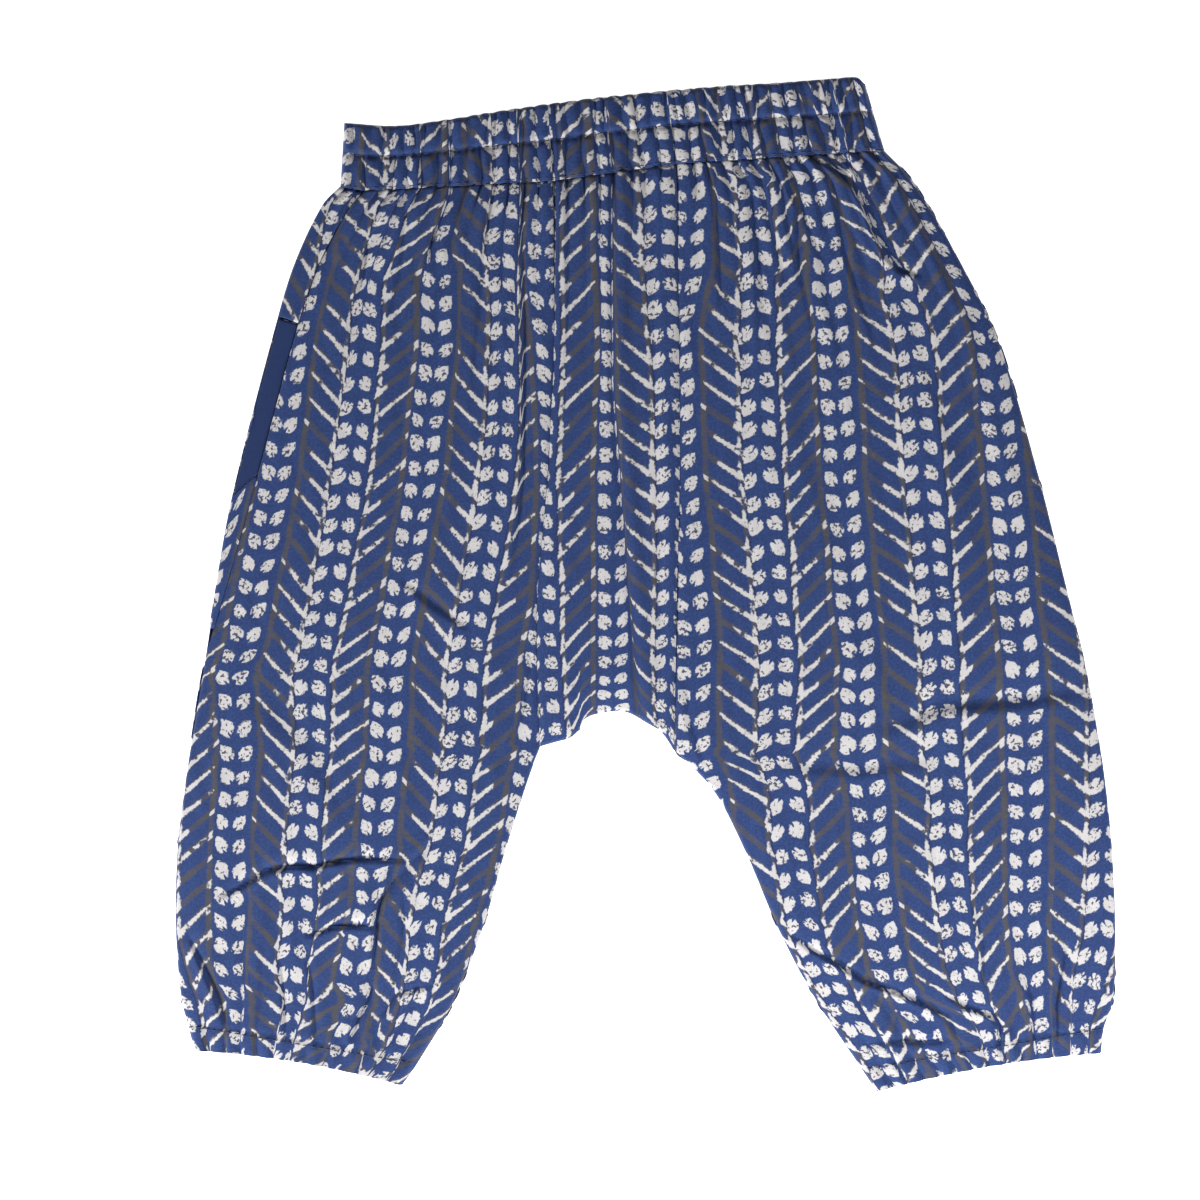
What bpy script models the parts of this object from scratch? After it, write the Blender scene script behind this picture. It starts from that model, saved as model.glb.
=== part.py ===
"""Baby harem pants, laid flat and face up, for Blender 4.5.

Metres in the finished scene, +Z up, +Y towards the waist. The origin lies under the
middle of the garment, on the surface that it rests on. The tables below are in
millimetres and are scaled as each mesh is made.

The back panels lie flat on the surface and the front panels lie on them. Each panel is
a closed wall: a plain inner side, and an outer side that holds the gathers and folds.
"""
import math
import random
from collections import namedtuple

import bmesh
import bpy
from mathutils import Vector

MM = 0.001

# Walls
SEAM_GAP = 0.3
BACK_WALL = 1.0
FRONT_WALL = 1.6
LEAST_WALL = 1.0
BAND_WALL = 2.1
EDGE_ROUND = 1.2

# The layers are thicker where gathers bunch, and part a little inside their edges
WAIST_BULK = 1.4
WAIST_BULK_REACH = 30.0
HEM_BULK = 0.8
HEM_BULK_REACH = 12.0
PUFF = 1.5
PUFF_REACH = 14.0

# The turned-up hem is double, and its elastic bows its middle upwards
HEM_DOUBLE = 0.5
HEM_DEPTH = 9.0
HEM_BOW = 2.2
HEM_BOW_REACH = 18.0

# The back left leg wraps round the side, and only a thin edge of it shows by the pocket
WRAP_LEAST = 1.6
WRAP_AT_POCKET = 2.2
WRAP_ROUND = 0.9
WRAP_ARC_STEPS = 4
WRAP_COLUMNS = 4

# Gathers: how many lie across each piece, how high they stand and how far they fade
LEG_GATHERS = {"left": 13, "right": 14}
GUSSET_GATHERS = 8
FRONT_GATHER = 1.0
BACK_GATHER = 0.7
HEM_GATHER = 0.7
BAND_GATHER = 0.8
VALLEY = -0.4
RIM_VALLEY = -0.2
LOW_CREST, HIGH_CREST = 0.65, 1.1
UNEVEN = 0.2
GATHER_FADES = (16.0, 20.0, 26.0, 34.0, 60.0)
HEM_GATHER_FADE = 13.0
BACK_GATHER_END = 30.0

# Stitch lines pull the cloth in
STITCH_DIP = 0.35
STITCH_WIDTH = 2.0
BAND_STITCH_SHARE = 0.06
STITCH_CALM = 0.45

# Columns of the plain inner sides: their insets from each edge, and how many lie between
INNER_INSETS = (5.0, 14.0)
INNER_MIDDLE = 3
GUSSET_PLAIN = 4
BAND_PLAIN_STEP = 6

# Mesh rows of the gusset and the pocket that lie close to an edge, in parts of a section,
# and how many sections of the gusset bend towards its free lower edge
POCKET_STEP = 0.03
CROTCH_ROUND = 0.04
CROTCH_BEND = 2.0
FACING_ROWS = 6
FACING_COLUMNS = 3

# Half legs from the waist to the hem: a row for each section, with the side edge of the
# garment, the side seam, the edge towards the other leg, and the mesh rows down to the
# next section. The left side seam has rolled on to the front, from the waist to the seat.
Section = namedtuple("Section", "name outline seam inner rows")
LEGS = {
    "left": (
        Section("waist", (-114.6, 149.1), (-105.6, 147.6), (-34.7, 151.3), 2),
        Section("yoke", (-121.0, 142.5), (-111.8, 140.0), (-34.5, 141.5), 2),
        Section("hip", (-131.1, 121.7), (-122.1, 120.9), (-34.3, 120.9), 2),
        Section("pocket top", (-137.9, 100.3), (-129.6, 100.3), (-34.3, 93.6), 4),
        Section("pocket foot", (-154.6, 35.8), (-146.8, 36.6), (-36.9, 39.2), 2),
        Section("low hip", (-162.1, -5.8), (-158.8, -5.8), (-40.7, -5.8), 2),
        Section("seat", (-165.9, -30.2), (-165.9, -30.2), (-40.7, -31.3), 2),
        Section("crotch", (-171.2, -62.1), (-171.2, -62.1), (-39.6, -60.9), 1),
        Section("fork", (-173.0, -74.0), (-173.0, -74.0), (-44.2, -73.6), 3),
        Section("thigh", (-176.0, -99.6), (-176.0, -99.6), (-52.3, -98.8), 4),
        Section("knee", (-176.6, -129.6), (-176.6, -129.6), (-61.3, -129.6), 4),
        Section("calf", (-174.5, -155.8), (-174.5, -155.8), (-72.3, -157.3), 2),
        Section("hem seam", (-171.8, -166.3), (-171.8, -166.3), (-85.6, -179.8), 2),
        Section("hem edge", (-169.7, -174.9), (-169.7, -174.9), (-91.3, -188.0), 0),
    ),
    "right": (
        Section("waist", (89.8, 162.9), (89.8, 162.9), (11.8, 157.7), 2),
        Section("yoke", (100.6, 151.5), (100.6, 151.5), (12.0, 149.5), 2),
        Section("hip", (118.7, 120.9), (118.7, 120.9), (12.2, 120.9), 2),
        Section("pocket top", (132.8, 91.7), (132.8, 91.7), (12.6, 93.6), 4),
        Section("pocket foot", (147.4, 42.9), (147.4, 42.9), (12.9, 42.9), 2),
        Section("low hip", (159.6, -5.8), (159.6, -5.8), (11.8, -5.8), 2),
        Section("seat", (165.2, -28.3), (165.2, -28.3), (11.4, -30.2), 2),
        Section("crotch", (171.3, -62.1), (171.3, -62.1), (10.8, -62.4), 1),
        Section("fork", (173.6, -78.9), (173.6, -78.9), (25.4, -77.1), 3),
        Section("thigh", (175.6, -99.6), (175.6, -99.6), (37.3, -99.6), 4),
        Section("knee", (176.8, -129.6), (176.8, -129.6), (50.1, -129.6), 4),
        Section("calf", (176.0, -155.8), (176.0, -155.8), (63.9, -155.8), 2),
        Section("hem seam", (172.4, -166.9), (172.4, -166.9), (80.3, -180.6), 2),
        Section("hem edge", (171.4, -175.8), (171.4, -175.8), (86.8, -190.3), 0),
    ),
}
PLACES = {section.name: place for place, section in enumerate(LEGS["left"])}
POCKET_TOP, POCKET_FOOT, CROTCH = PLACES["pocket top"], PLACES["pocket foot"], PLACES["crotch"]

# The free lower edge of the gusset, from leg to leg, and the free top of the waistband
CROTCH_EDGE = ((-39.6, -60.9), (-33.5, -59.2), (-28.6, -57.8), (-25.4, -55.2), (-23.0, -50.8),
               (-18.5, -48.8), (-8.0, -47.8), (0.9, -52.3), (6.2, -55.8), (10.8, -62.4))
BAND_TOP = ((-113.2, 173.5), (-93.9, 172.3), (-75.9, 174.4), (-53.1, 178.0), (-17.1, 182.8),
            (25.7, 186.9), (50.4, 188.5), (72.0, 190.2), (79.3, 190.5), (82.6, 188.0))

# Waistband rows from its top to its seam, as shares of its height
BAND_STITCH = 0.48
BAND_ROWS = (0.0, 0.05, 0.24, 0.4, BAND_STITCH, 0.56, 0.76, 0.95, 1.0)

# The largest folds: a valley along the path, with a ridge beside it on the side that a
# positive "ridge" puts to the left of somebody who walks the path.
Fold = namedtuple("Fold", "name width valley ridge path")
FOLDS = (
    Fold("waist drape", 9, 0.7, 1.1, ((63.6, 160.1), (76.3, 150.9), (84.0, 134.0),
                                     (95.8, 119.8), (106.0, 109.7))),
    Fold("side tuck", 7, 0.6, -0.8, ((-98.8, 144.2), (-101.4, 134.1), (-106.3, 117.9),
                                    (-113.8, 87.9))),
    Fold("upper knee crease", 9, 0.6, 0.9, ((-152.0, -110.0), (-116.4, -104.1),
                                           (-88.0, -103.3))),
    Fold("lower knee crease", 8, 0.6, -0.7, ((-128.0, -133.0), (-101.8, -128.8))),
    Fold("shin tuck", 8, 0.7, 1.2, ((-78.0, -93.0), (-98.1, -113.8), (-102.0, -135.0),
                                   (-107.0, -160.0))),
    Fold("calf crease", 10, 0.6, 1.1, ((62.0, -137.0), (88.3, -150.6), (109.7, -160.3),
                                      (122.4, -176.3))),
    Fold("ankle crease", 8, 0.5, 0.7, ((152.4, -140.6), (154.7, -152.1),
                                      (153.9, -172.1))),
)

# How far a fold reaches, where it fades at its ends, and how wide its two parts are
FOLD_REACH = 2.2
FOLD_END = 0.08
VALLEY_WIDTH, RIDGE_WIDTH = 0.55, 0.6

Cloth = namedtuple("Cloth", "colour roughness")
PRINTED = Cloth((0.085, 0.115, 0.235), 0.85)
PLAIN = Cloth((0.030, 0.045, 0.125), 0.85)


def along(points, place):
    """A point on a smooth curve through the points, place counted from point to point."""
    first = min(int(place), len(points) - 2)
    part = place - first
    spots = [Vector(point) for point in points]

    def slope(index):
        before, after = max(index - 1, 0), min(index + 1, len(spots) - 1)
        reach = sum((spots[i + 1] - spots[i]).length for i in range(before, after))
        return (spots[after] - spots[before]) / reach

    start, end = spots[first], spots[first + 1]
    span = (end - start).length
    square, cube = part * part, part ** 3
    return (start * (2 * cube - 3 * square + 1) + end * (3 * square - 2 * cube)
            + slope(first) * span * (cube - 2 * square + part)
            + slope(first + 1) * span * (cube - square))


def edge(side, column, place):
    """A point of one of a leg's edges at a place counted in sections."""
    points = [getattr(section, column) for section in LEGS[side]]
    if column != "inner":
        return along(points, place)
    if place <= CROTCH:
        return along(points[:CROTCH + 1], place)
    return along(points[CROTCH:], place - CROTCH)


def level(table, x):
    """The height of a table's smooth curve at x, for a table that runs from left to right."""
    for index, (start, end) in enumerate(zip(table, table[1:])):
        if x <= end[0] or end == table[-1]:
            return along(table, index + (x - start[0]) / (end[0] - start[0])).y


def row_places(side, last=None, pocket=False):
    """The places of the mesh rows, with a close pair at each end of the pocket."""
    places = []
    for index, section in enumerate(LEGS[side][:last]):
        places += [index + step / section.rows for step in range(section.rows)]
    places.append(float(last if last else len(LEGS[side]) - 1))
    if pocket:
        places += [POCKET_TOP + POCKET_STEP, POCKET_FOOT - POCKET_STEP]
    return sorted(places)


def path_distance(spot, path):
    """Distance to a path, the side it lies on, and how far along the path it is."""
    nearest = (1e9, 1.0, 0.0)
    for index, (start, end) in enumerate(zip(path, path[1:])):
        span = end - start
        part = min(max((spot - start).dot(span) / span.length_squared, 0.0), 1.0)
        away = spot - start - span * part
        if away.length < nearest[0]:
            turn = span.x * away.y - span.y * away.x
            nearest = (away.length, math.copysign(1.0, turn), (index + part) / (len(path) - 1))
    return nearest


def side_edges():
    """The edges where a front panel meets a back panel: sides, inner legs and crotch."""
    fine = 4
    paths = []
    for side, sections in LEGS.items():
        count = (len(sections) - 1) * fine
        paths.append([edge(side, "outline", step / fine) for step in range(count + 1)])
        inner = range(CROTCH * fine, count + 1)
        paths.append([edge(side, "inner", step / fine) for step in inner])
    steps = (len(CROTCH_EDGE) - 1) * fine
    paths.append([along(CROTCH_EDGE, step / fine) for step in range(steps + 1)])
    return paths


SIDE_EDGES = side_edges()
WAIST_LINE = [edge("left", "outline", 0), edge("left", "inner", 0),
              edge("right", "inner", 0), edge("right", "outline", 0)]
HEM_LINES = [[edge(side, "outline", len(LEGS[side]) - 1), edge(side, "inner", len(LEGS[side]) - 1)]
             for side in LEGS]


def side_distance(spot):
    return min(path_distance(spot, path)[0] for path in SIDE_EDGES)


def waist_distance(spot):
    return path_distance(spot, WAIST_LINE)[0]


def hem_distance(spot):
    return min(path_distance(spot, line)[0] for line in HEM_LINES)


def rounded(distance, reach):
    """Rises from 0 at an edge to 1 at its reach, as a quarter circle does."""
    left = 1.0 - min(distance / reach, 1.0)
    return math.sqrt(max(1.0 - left * left, 0.0))


def back_top(spot):
    """Top of the back panels, thicker where gathers bunch at the waist and the hems."""
    waist = WAIST_BULK * math.exp(-waist_distance(spot) / WAIST_BULK_REACH)
    hem = HEM_BULK * math.exp(-hem_distance(spot) / HEM_BULK_REACH)
    return BACK_WALL + waist + hem


def front_inside(spot):
    """Underside of the front panels, which part a little from the back panels."""
    free = min(side_distance(spot), waist_distance(spot), hem_distance(spot))
    left = 1.0 - min(free / PUFF_REACH, 1.0)
    return back_top(spot) + SEAM_GAP + PUFF * (1.0 - left * left)


def fold_height(spot):
    height = 0.0
    for fold in FOLDS:
        path = [Vector(point) for point in fold.path]
        away, side, part = path_distance(spot, path)
        if away < FOLD_REACH * fold.width:
            taper = math.sqrt(math.sin(math.pi * min(max(part, FOLD_END), 1.0 - FOLD_END)))
            lift = away - fold.width if side * fold.ridge > 0 else away + fold.width
            valley = fold.valley * math.exp(-(away / (VALLEY_WIDTH * fold.width)) ** 2)
            ridge = abs(fold.ridge) * math.exp(-(lift / (RIDGE_WIDTH * fold.width)) ** 2)
            height += taper * (ridge - valley)
    return height


def hem_thickness(spot):
    """What the doubled hem adds to a wall, less the dip of its stitch line."""
    away = hem_distance(spot)
    double = HEM_DOUBLE if away < HEM_DEPTH else 0.0
    dip = STITCH_DIP * math.exp(-((away - HEM_DEPTH) / STITCH_WIDTH) ** 2)
    return double - dip


def gather_height(crest, fade, spot, waist, hem):
    """Height of a gather that starts at the waist seam and again at the hem."""
    rise = crest * waist * math.exp(-waist_distance(spot) / fade)
    return rise + crest * hem * math.exp(-hem_distance(spot) / HEM_GATHER_FADE)


class Gathers:
    """Uneven columns across a panel: even ones lie in a valley, odd ones on a crest."""

    def __init__(self, count, seed):
        chance = random.Random(seed)
        self.places = [0.0]
        self.crests = [VALLEY]
        self.fades = [GATHER_FADES[0]]
        for column in range(1, 2 * count):
            self.places.append((column + chance.uniform(-UNEVEN, UNEVEN)) / (2 * count))
            self.crests.append(chance.uniform(LOW_CREST, HIGH_CREST) if column % 2 else VALLEY)
            self.fades.append(chance.choice(GATHER_FADES))
        self.places.append(1.0)
        self.crests.append(VALLEY)
        self.fades.append(GATHER_FADES[0])

    def columns(self):
        """Each column's place across, crest and fade."""
        return list(zip(self.places, self.crests, self.fades))


GATHERS = {
    "left": Gathers(LEG_GATHERS["left"], seed=3),
    "middle": Gathers(GUSSET_GATHERS, seed=5),
    "right": Gathers(LEG_GATHERS["right"], seed=7),
}


def bowed(place, spot, z):
    """A point of a row, lifted where the elastic draws the middle of a hem upwards."""
    lift = HEM_BOW * 4.0 * place * (1.0 - place)
    lift *= math.exp(-hem_distance(spot) / HEM_BOW_REACH)
    return place, spot.x, spot.y + lift, z


def trimmed(start, end, start_gap, end_gap):
    """Draw in the ends of a row by half a seam gap where the row meets a seam."""
    step = (end - start).normalized()
    return start + step * start_gap, end - step * end_gap


def rim_columns(start, end, free_start, free_end):
    """The extra columns of a row, an edge round in from each end that is free."""
    rim = EDGE_ROUND / (end - start).length
    places = [rim] if free_start else []
    places += [1.0 - rim] if free_end else []
    return [(place, RIM_VALLEY, GATHER_FADES[0]) for place in places]


def topside(spot, crest, fade):
    """Height of the outer side of a front panel, with its gathers, folds and hem."""
    thickness = FRONT_WALL + fold_height(spot) + hem_thickness(spot)
    thickness += gather_height(crest, fade, spot, FRONT_GATHER, HEM_GATHER)
    return front_inside(spot) + max(thickness, LEAST_WALL) * rounded(
        side_distance(spot), EDGE_ROUND)


def front_row(start, end, gathers, free_start, free_end):
    """Outer points of a front panel's row: each its place across, and x, y and z."""
    rims = rim_columns(start, end, free_start, free_end)
    row = []
    for place, crest, fade in sorted(gathers.columns() + rims):
        spot = start.lerp(end, place)
        row.append(bowed(place, spot, topside(spot, crest, fade)))
    return row


def inner_places(start, end, free_start, free_end):
    """The few columns of a plain inner side, close together only at its free edges."""
    width = (end - start).length
    insets = [inset / width for inset in INNER_INSETS]
    middle = [step / (INNER_MIDDLE + 1) for step in range(1, INNER_MIDDLE + 1)]
    rim = EDGE_ROUND / width
    places = [rim if free_start else 0.0, *insets]
    places += [place for place in middle if insets[-1] < place < 1.0 - insets[-1]]
    places += [1.0 - inset for inset in reversed(insets)]
    return [*places, 1.0 - rim if free_end else 1.0]


def plain_row(start, end, free_start, free_end, height):
    row = []
    for place in inner_places(start, end, free_start, free_end):
        spot = start.lerp(end, place)
        row.append(bowed(place, spot, height(spot)))
    return row


def underside(spot, in_valley):
    """Height of the underside: it rests flat, but for gather grooves and round edges."""
    groove = 0.0
    if in_valley:
        groove = gather_height(1.0, GATHER_FADES[0], spot, BACK_GATHER, BACK_GATHER / 2)
    curl = back_top(spot) * (1.0 - rounded(side_distance(spot), EDGE_ROUND))
    return max(groove, curl)


def back_row(start, end, gathers, free_start, free_end):
    """Underside of a back panel's row: flat, with grooves only near the gathers."""
    middle = start.lerp(end, 0.5)
    if min(waist_distance(middle), hem_distance(middle)) < BACK_GATHER_END:
        columns = gathers.columns()
    else:
        columns = [(place, HIGH_CREST, 0.0) for place in inner_places(start, end, False, False)]
    columns += rim_columns(start, end, free_start, free_end)
    row = []
    for place, crest, _ in sorted(columns):
        spot = start.lerp(end, place)
        row.append(bowed(place, spot, underside(spot, crest == VALLEY)))
    return row


def strip(bm, upper, lower):
    """Triangles between two rows of (place, vertex), whose columns need not match."""
    top, low = 0, 0
    while top < len(upper) - 1 or low < len(lower) - 1:
        next_top = upper[top + 1][0] if top < len(upper) - 1 else math.inf
        next_low = lower[low + 1][0] if low < len(lower) - 1 else math.inf
        if next_top <= next_low:
            bm.faces.new((upper[top][1], upper[top + 1][1], lower[low][1]))
            top += 1
        else:
            bm.faces.new((upper[top][1], lower[low + 1][1], lower[low][1]))
            low += 1


def material(name, cloth):
    finish = bpy.data.materials.new(name)
    finish.use_nodes = True
    shader = finish.node_tree.nodes["Principled BSDF"]
    shader.inputs["Base Color"].default_value = (*cloth.colour, 1.0)
    shader.inputs["Roughness"].default_value = cloth.roughness
    shader.inputs["Metallic"].default_value = 0.0
    return finish


def wall(name, cloth, outer, inner, garment):
    """One closed wall from its outer and inner rows, each a place down and its points."""
    bm = bmesh.new()
    sides = []
    for rows in (outer, inner):
        grid = []
        for down, row in rows:
            made = [(place, bm.verts.new((x * MM, y * MM, z * MM))) for place, x, y, z in row]
            grid.append((down, made))
        for (_, upper), (_, lower) in zip(grid, grid[1:]):
            strip(bm, upper, lower)
        sides.append(grid)
    for end in (0, -1):
        strip(bm, sides[0][end][1], sides[1][end][1])
        rims = [[(down, row[end][1]) for down, row in grid] for grid in sides]
        strip(bm, *rims)
    bmesh.ops.recalc_face_normals(bm, faces=bm.faces)
    mesh = bpy.data.meshes.new(name)
    bm.to_mesh(mesh)
    bm.free()
    mesh.materials.append(material(name, cloth))
    mesh.shade_smooth()
    piece = bpy.data.objects.new(name, mesh)
    garment.objects.link(piece)


def every_other(places):
    """The rows of a plain inner side: every other one, and always the last."""
    return sorted({*places[::2], places[-1]})


def beside_pocket(place):
    """Whether a row is one of the close pairs at the ends of the pocket."""
    return min(abs(place - POCKET_TOP), abs(place - POCKET_FOOT)) <= POCKET_STEP


def front_leg(side, garment):
    """A front leg panel, from the side seam to the gusset or the inner leg edge."""
    def ends(place):
        free_inner = place > CROTCH
        rolled = edge(side, "outline", place) - edge(side, "seam", place)
        free_outer = rolled.length < WRAP_LEAST
        start_gap = 0.0 if free_outer else SEAM_GAP / 2
        end_gap = 0.0 if free_inner else SEAM_GAP / 2
        start, end = trimmed(edge(side, "seam", place), edge(side, "inner", place), start_gap, end_gap)
        return start, end, free_outer, free_inner

    outer, inner = [], []
    places = row_places(side)
    for place in places:
        start, end, *free = ends(place)
        outer.append((place, front_row(start, end, GATHERS[side], *free)))
    for place in every_other(places):
        start, end, *free = ends(place)
        inner.append((place, plain_row(start, end, *free, front_inside)))
    wall(f"front_{side}_leg", PRINTED, outer, inner, garment)


def wrap_rows(place):
    """The part of the back left leg that wraps on to the front, outer and inner points."""
    outline, seam = edge("left", "outline", place), edge("left", "seam", place)
    width = (seam - outline).length
    if width < WRAP_LEAST:
        return [], []
    inward = (seam - outline) / width
    in_pocket = POCKET_TOP + POCKET_STEP <= place <= POCKET_FOOT - POCKET_STEP
    reach = WRAP_AT_POCKET if in_pocket else width - SEAM_GAP / 2
    radius = WRAP_ROUND * min(WRAP_AT_POCKET, reach)
    top = front_inside(outline + inward * radius) + BACK_WALL
    outer = []
    for step in range(1, WRAP_ARC_STEPS + 1):
        share = step / WRAP_ARC_STEPS
        angle = math.pi * (share - 0.5)
        spot = outline + inward * radius * (1.0 - math.cos(angle))
        outer.append((1.0 + share / 2, spot.x, spot.y, top / 2 * (1.0 + math.sin(angle))))
    columns = 1 if in_pocket else WRAP_COLUMNS
    for column in range(1, columns + 1):
        share = column / columns
        spot = outline + inward * (radius + (reach - radius) * share)
        crest = LOW_CREST if column % 2 and not in_pocket else 0.0
        rise = gather_height(crest, GATHER_FADES[2], spot, FRONT_GATHER, 0.0)
        z = front_inside(spot) + BACK_WALL + rise
        outer.append((1.5 + share / 2, spot.x, spot.y, z))
    inner = []
    for share in (0.5, 1.0):
        spot = outline + inward * (EDGE_ROUND + (reach - EDGE_ROUND) * share)
        inner.append((1.5 + share / 2, spot.x, spot.y, front_inside(spot)))
    return outer, inner


def back_leg(side, garment):
    """A back leg panel. The left one wraps round the side of the garment."""
    def ends(place):
        free_inner = place > CROTCH
        end_gap = 0.0 if free_inner else SEAM_GAP / 2
        return trimmed(edge(side, "inner", place), edge(side, "outline", place), end_gap, 0.0)

    outer, inner = [], []
    plain_places = every_other(row_places(side))
    places = row_places(side, pocket=side == "left")
    for place in places:
        start, end = ends(place)
        row = back_row(start, end, GATHERS[side], place > CROTCH, True)
        wrap = wrap_rows(place)[0] if side == "left" else []
        if wrap:
            row.pop()
        outer.append((place, row + wrap))
    for place in sorted({*plain_places, *filter(beside_pocket, places)}):
        start, end = ends(place)
        row = plain_row(start, end, place > CROTCH, True, back_top)
        wrap = wrap_rows(place)[1] if side == "left" else []
        inner.append((place, row + wrap))
    wall(f"back_{side}_leg", PRINTED, outer, inner, garment)


def gusset_ends(place):
    """Ends of a gusset row, which runs from one leg panel to the other."""
    return trimmed(edge("left", "inner", place), edge("right", "inner", place),
                   SEAM_GAP / 2, SEAM_GAP / 2)


def gusset_spot(place, share):
    """A point of the gusset, whose rows sink into the shape of the crotch edge."""
    start, end = gusset_ends(place)
    spot = start.lerp(end, share)
    foot_start, foot_end = gusset_ends(CROTCH)
    foot = foot_start.lerp(foot_end, share)
    blend = max(0.0, 1.0 - (CROTCH - place) / CROTCH_BEND) ** 2
    spot.y += (level(CROTCH_EDGE, foot.x) - foot.y) * blend
    return spot


def gusset(name, garment, front):
    """A strip from the waist to the crotch, front or back."""
    places = row_places("left", CROTCH)
    places.insert(-1, CROTCH - CROTCH_ROUND)
    outer, inner = [], []
    for place in places:
        row = []
        for share, crest, fade in GATHERS["middle"].columns():
            spot = gusset_spot(place, share)
            z = topside(spot, crest, fade) if front else underside(spot, crest == VALLEY)
            row.append((share, spot.x, spot.y, z))
        outer.append((place, row))
    for place in every_other(places[:-1]):
        row = []
        for step in range(GUSSET_PLAIN + 1):
            share = step / GUSSET_PLAIN
            spot = gusset_spot(place, share)
            row.append((share, spot.x, spot.y, front_inside(spot) if front else back_top(spot)))
        inner.append((place, row))
    wall(name, PRINTED, outer, inner, garment)


def band_columns():
    """The gathers of the pieces below the band, as spots along its seam with crests."""
    corner, left_inner, right_inner, right_corner = WAIST_LINE
    seam = corner + (left_inner - corner).normalized() * (edge("left", "seam", 0) - corner).length
    columns = [(corner, VALLEY), (corner.lerp(seam, 0.5), LOW_CREST)]
    for place, crest, _ in GATHERS["left"].columns()[:-1]:
        columns.append((seam.lerp(left_inner, place), crest))
    for place, crest, _ in GATHERS["middle"].columns()[:-1]:
        columns.append((left_inner.lerp(right_inner, place), crest))
    for place, crest, _ in reversed(GATHERS["right"].columns()):
        columns.append((right_corner.lerp(right_inner, place), crest))
    return columns


def waistband(name, garment, front):
    """Half of the waistband: a casing gathered by elastic, with a middle stitch line."""
    columns = band_columns()
    left, right = columns[0][0].x, columns[-1][0].x
    base = BACK_WALL + WAIST_BULK
    outer, inner = [], []
    for down in BAND_ROWS:
        row, plain = [], []
        for index, (foot, crest) in enumerate(columns):
            share = (foot.x - left) / (right - left)
            head_x = BAND_TOP[0][0] + share * (BAND_TOP[-1][0] - BAND_TOP[0][0])
            head = Vector((head_x, level(BAND_TOP, head_x)))
            foot = foot + (head - foot).normalized() * SEAM_GAP
            spot = head.lerp(foot, down)
            from_edge = min((head - spot).length, foot.x - left, right - foot.x)
            edge_height = rounded(from_edge + EDGE_ROUND / 2, 2 * EDGE_ROUND)
            stitch = math.exp(-((down - BAND_STITCH) / BAND_STITCH_SHARE) ** 2)
            calm = 1.0 - STITCH_CALM * stitch
            if front:
                thickness = BAND_WALL + BAND_GATHER * crest * calm - STITCH_DIP * stitch
                z = base + SEAM_GAP + thickness * edge_height
            else:
                groove = BACK_GATHER * calm if crest == VALLEY else 0.0
                z = max(groove + STITCH_DIP * stitch, base * (1.0 - edge_height))
            row.append((share, spot.x, spot.y, z))
            if index % BAND_PLAIN_STEP == 0 or index == len(columns) - 1:
                plain.append((share, spot.x, spot.y, base + SEAM_GAP if front else base))
        outer.append((down, row))
        if down in (BAND_ROWS[0], BAND_STITCH, BAND_ROWS[-1]):
            inner.append((down, plain))
    wall(name, PRINTED, outer, inner, garment)


def pocket_facing(garment):
    """The plain strip that shows between the side seam and the wrapped back panel."""
    mouth = (edge("left", "seam", POCKET_TOP) - edge("left", "seam", POCKET_FOOT)).length
    first = POCKET_TOP + POCKET_STEP + SEAM_GAP / mouth
    last = POCKET_FOOT - POCKET_STEP - SEAM_GAP / mouth
    outer, inner = [], []
    for step in range(FACING_ROWS + 1):
        place = first + (last - first) * step / FACING_ROWS
        outline, seam = edge("left", "outline", place), edge("left", "seam", place)
        inward = (seam - outline).normalized()
        start = outline + inward * (WRAP_AT_POCKET + SEAM_GAP)
        end = seam - inward * SEAM_GAP / 2
        row, plain = [], []
        for column in range(FACING_COLUMNS + 1):
            share = column / FACING_COLUMNS
            spot = start.lerp(end, share)
            row.append((share, spot.x, spot.y, front_inside(spot) + BACK_WALL))
            plain.append((share, spot.x, spot.y, front_inside(spot)))
        outer.append((place, row))
        inner.append((place, plain))
    wall("pocket_facing", PLAIN, outer, inner, garment)


def clear_scene():
    for thing in list(bpy.data.objects):
        bpy.data.objects.remove(thing, do_unlink=True)


clear_scene()
pants = bpy.data.collections.new("baby_harem_pants")
bpy.context.scene.collection.children.link(pants)
for leg in LEGS:
    back_leg(leg, pants)
    front_leg(leg, pants)
gusset("back_gusset", pants, front=False)
gusset("front_gusset", pants, front=True)
waistband("waistband_back", pants, front=False)
waistband("waistband_front", pants, front=True)
pocket_facing(pants)
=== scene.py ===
import math
import random
from collections import namedtuple

import bpy
import numpy as np
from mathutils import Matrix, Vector


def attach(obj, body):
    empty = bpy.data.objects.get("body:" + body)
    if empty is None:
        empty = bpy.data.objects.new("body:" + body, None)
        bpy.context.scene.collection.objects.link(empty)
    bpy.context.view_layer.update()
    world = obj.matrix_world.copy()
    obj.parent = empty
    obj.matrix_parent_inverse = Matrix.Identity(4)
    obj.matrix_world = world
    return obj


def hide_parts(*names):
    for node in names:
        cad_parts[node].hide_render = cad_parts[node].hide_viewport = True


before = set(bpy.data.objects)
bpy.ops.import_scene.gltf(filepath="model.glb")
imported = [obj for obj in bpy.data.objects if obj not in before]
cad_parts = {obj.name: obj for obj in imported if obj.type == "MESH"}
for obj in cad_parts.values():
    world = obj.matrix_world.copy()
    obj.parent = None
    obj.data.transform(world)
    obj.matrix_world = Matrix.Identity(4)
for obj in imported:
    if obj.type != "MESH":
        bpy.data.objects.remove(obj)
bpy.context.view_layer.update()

# A pair of baby harem pants, laid flat and face up on a pale floor

# The backs of the legs
# Two panels of block-printed cotton that lie on the table. The left one comes round the
# side on to the front, as far as the side seam. The hems are turned up and elasticated.

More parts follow.
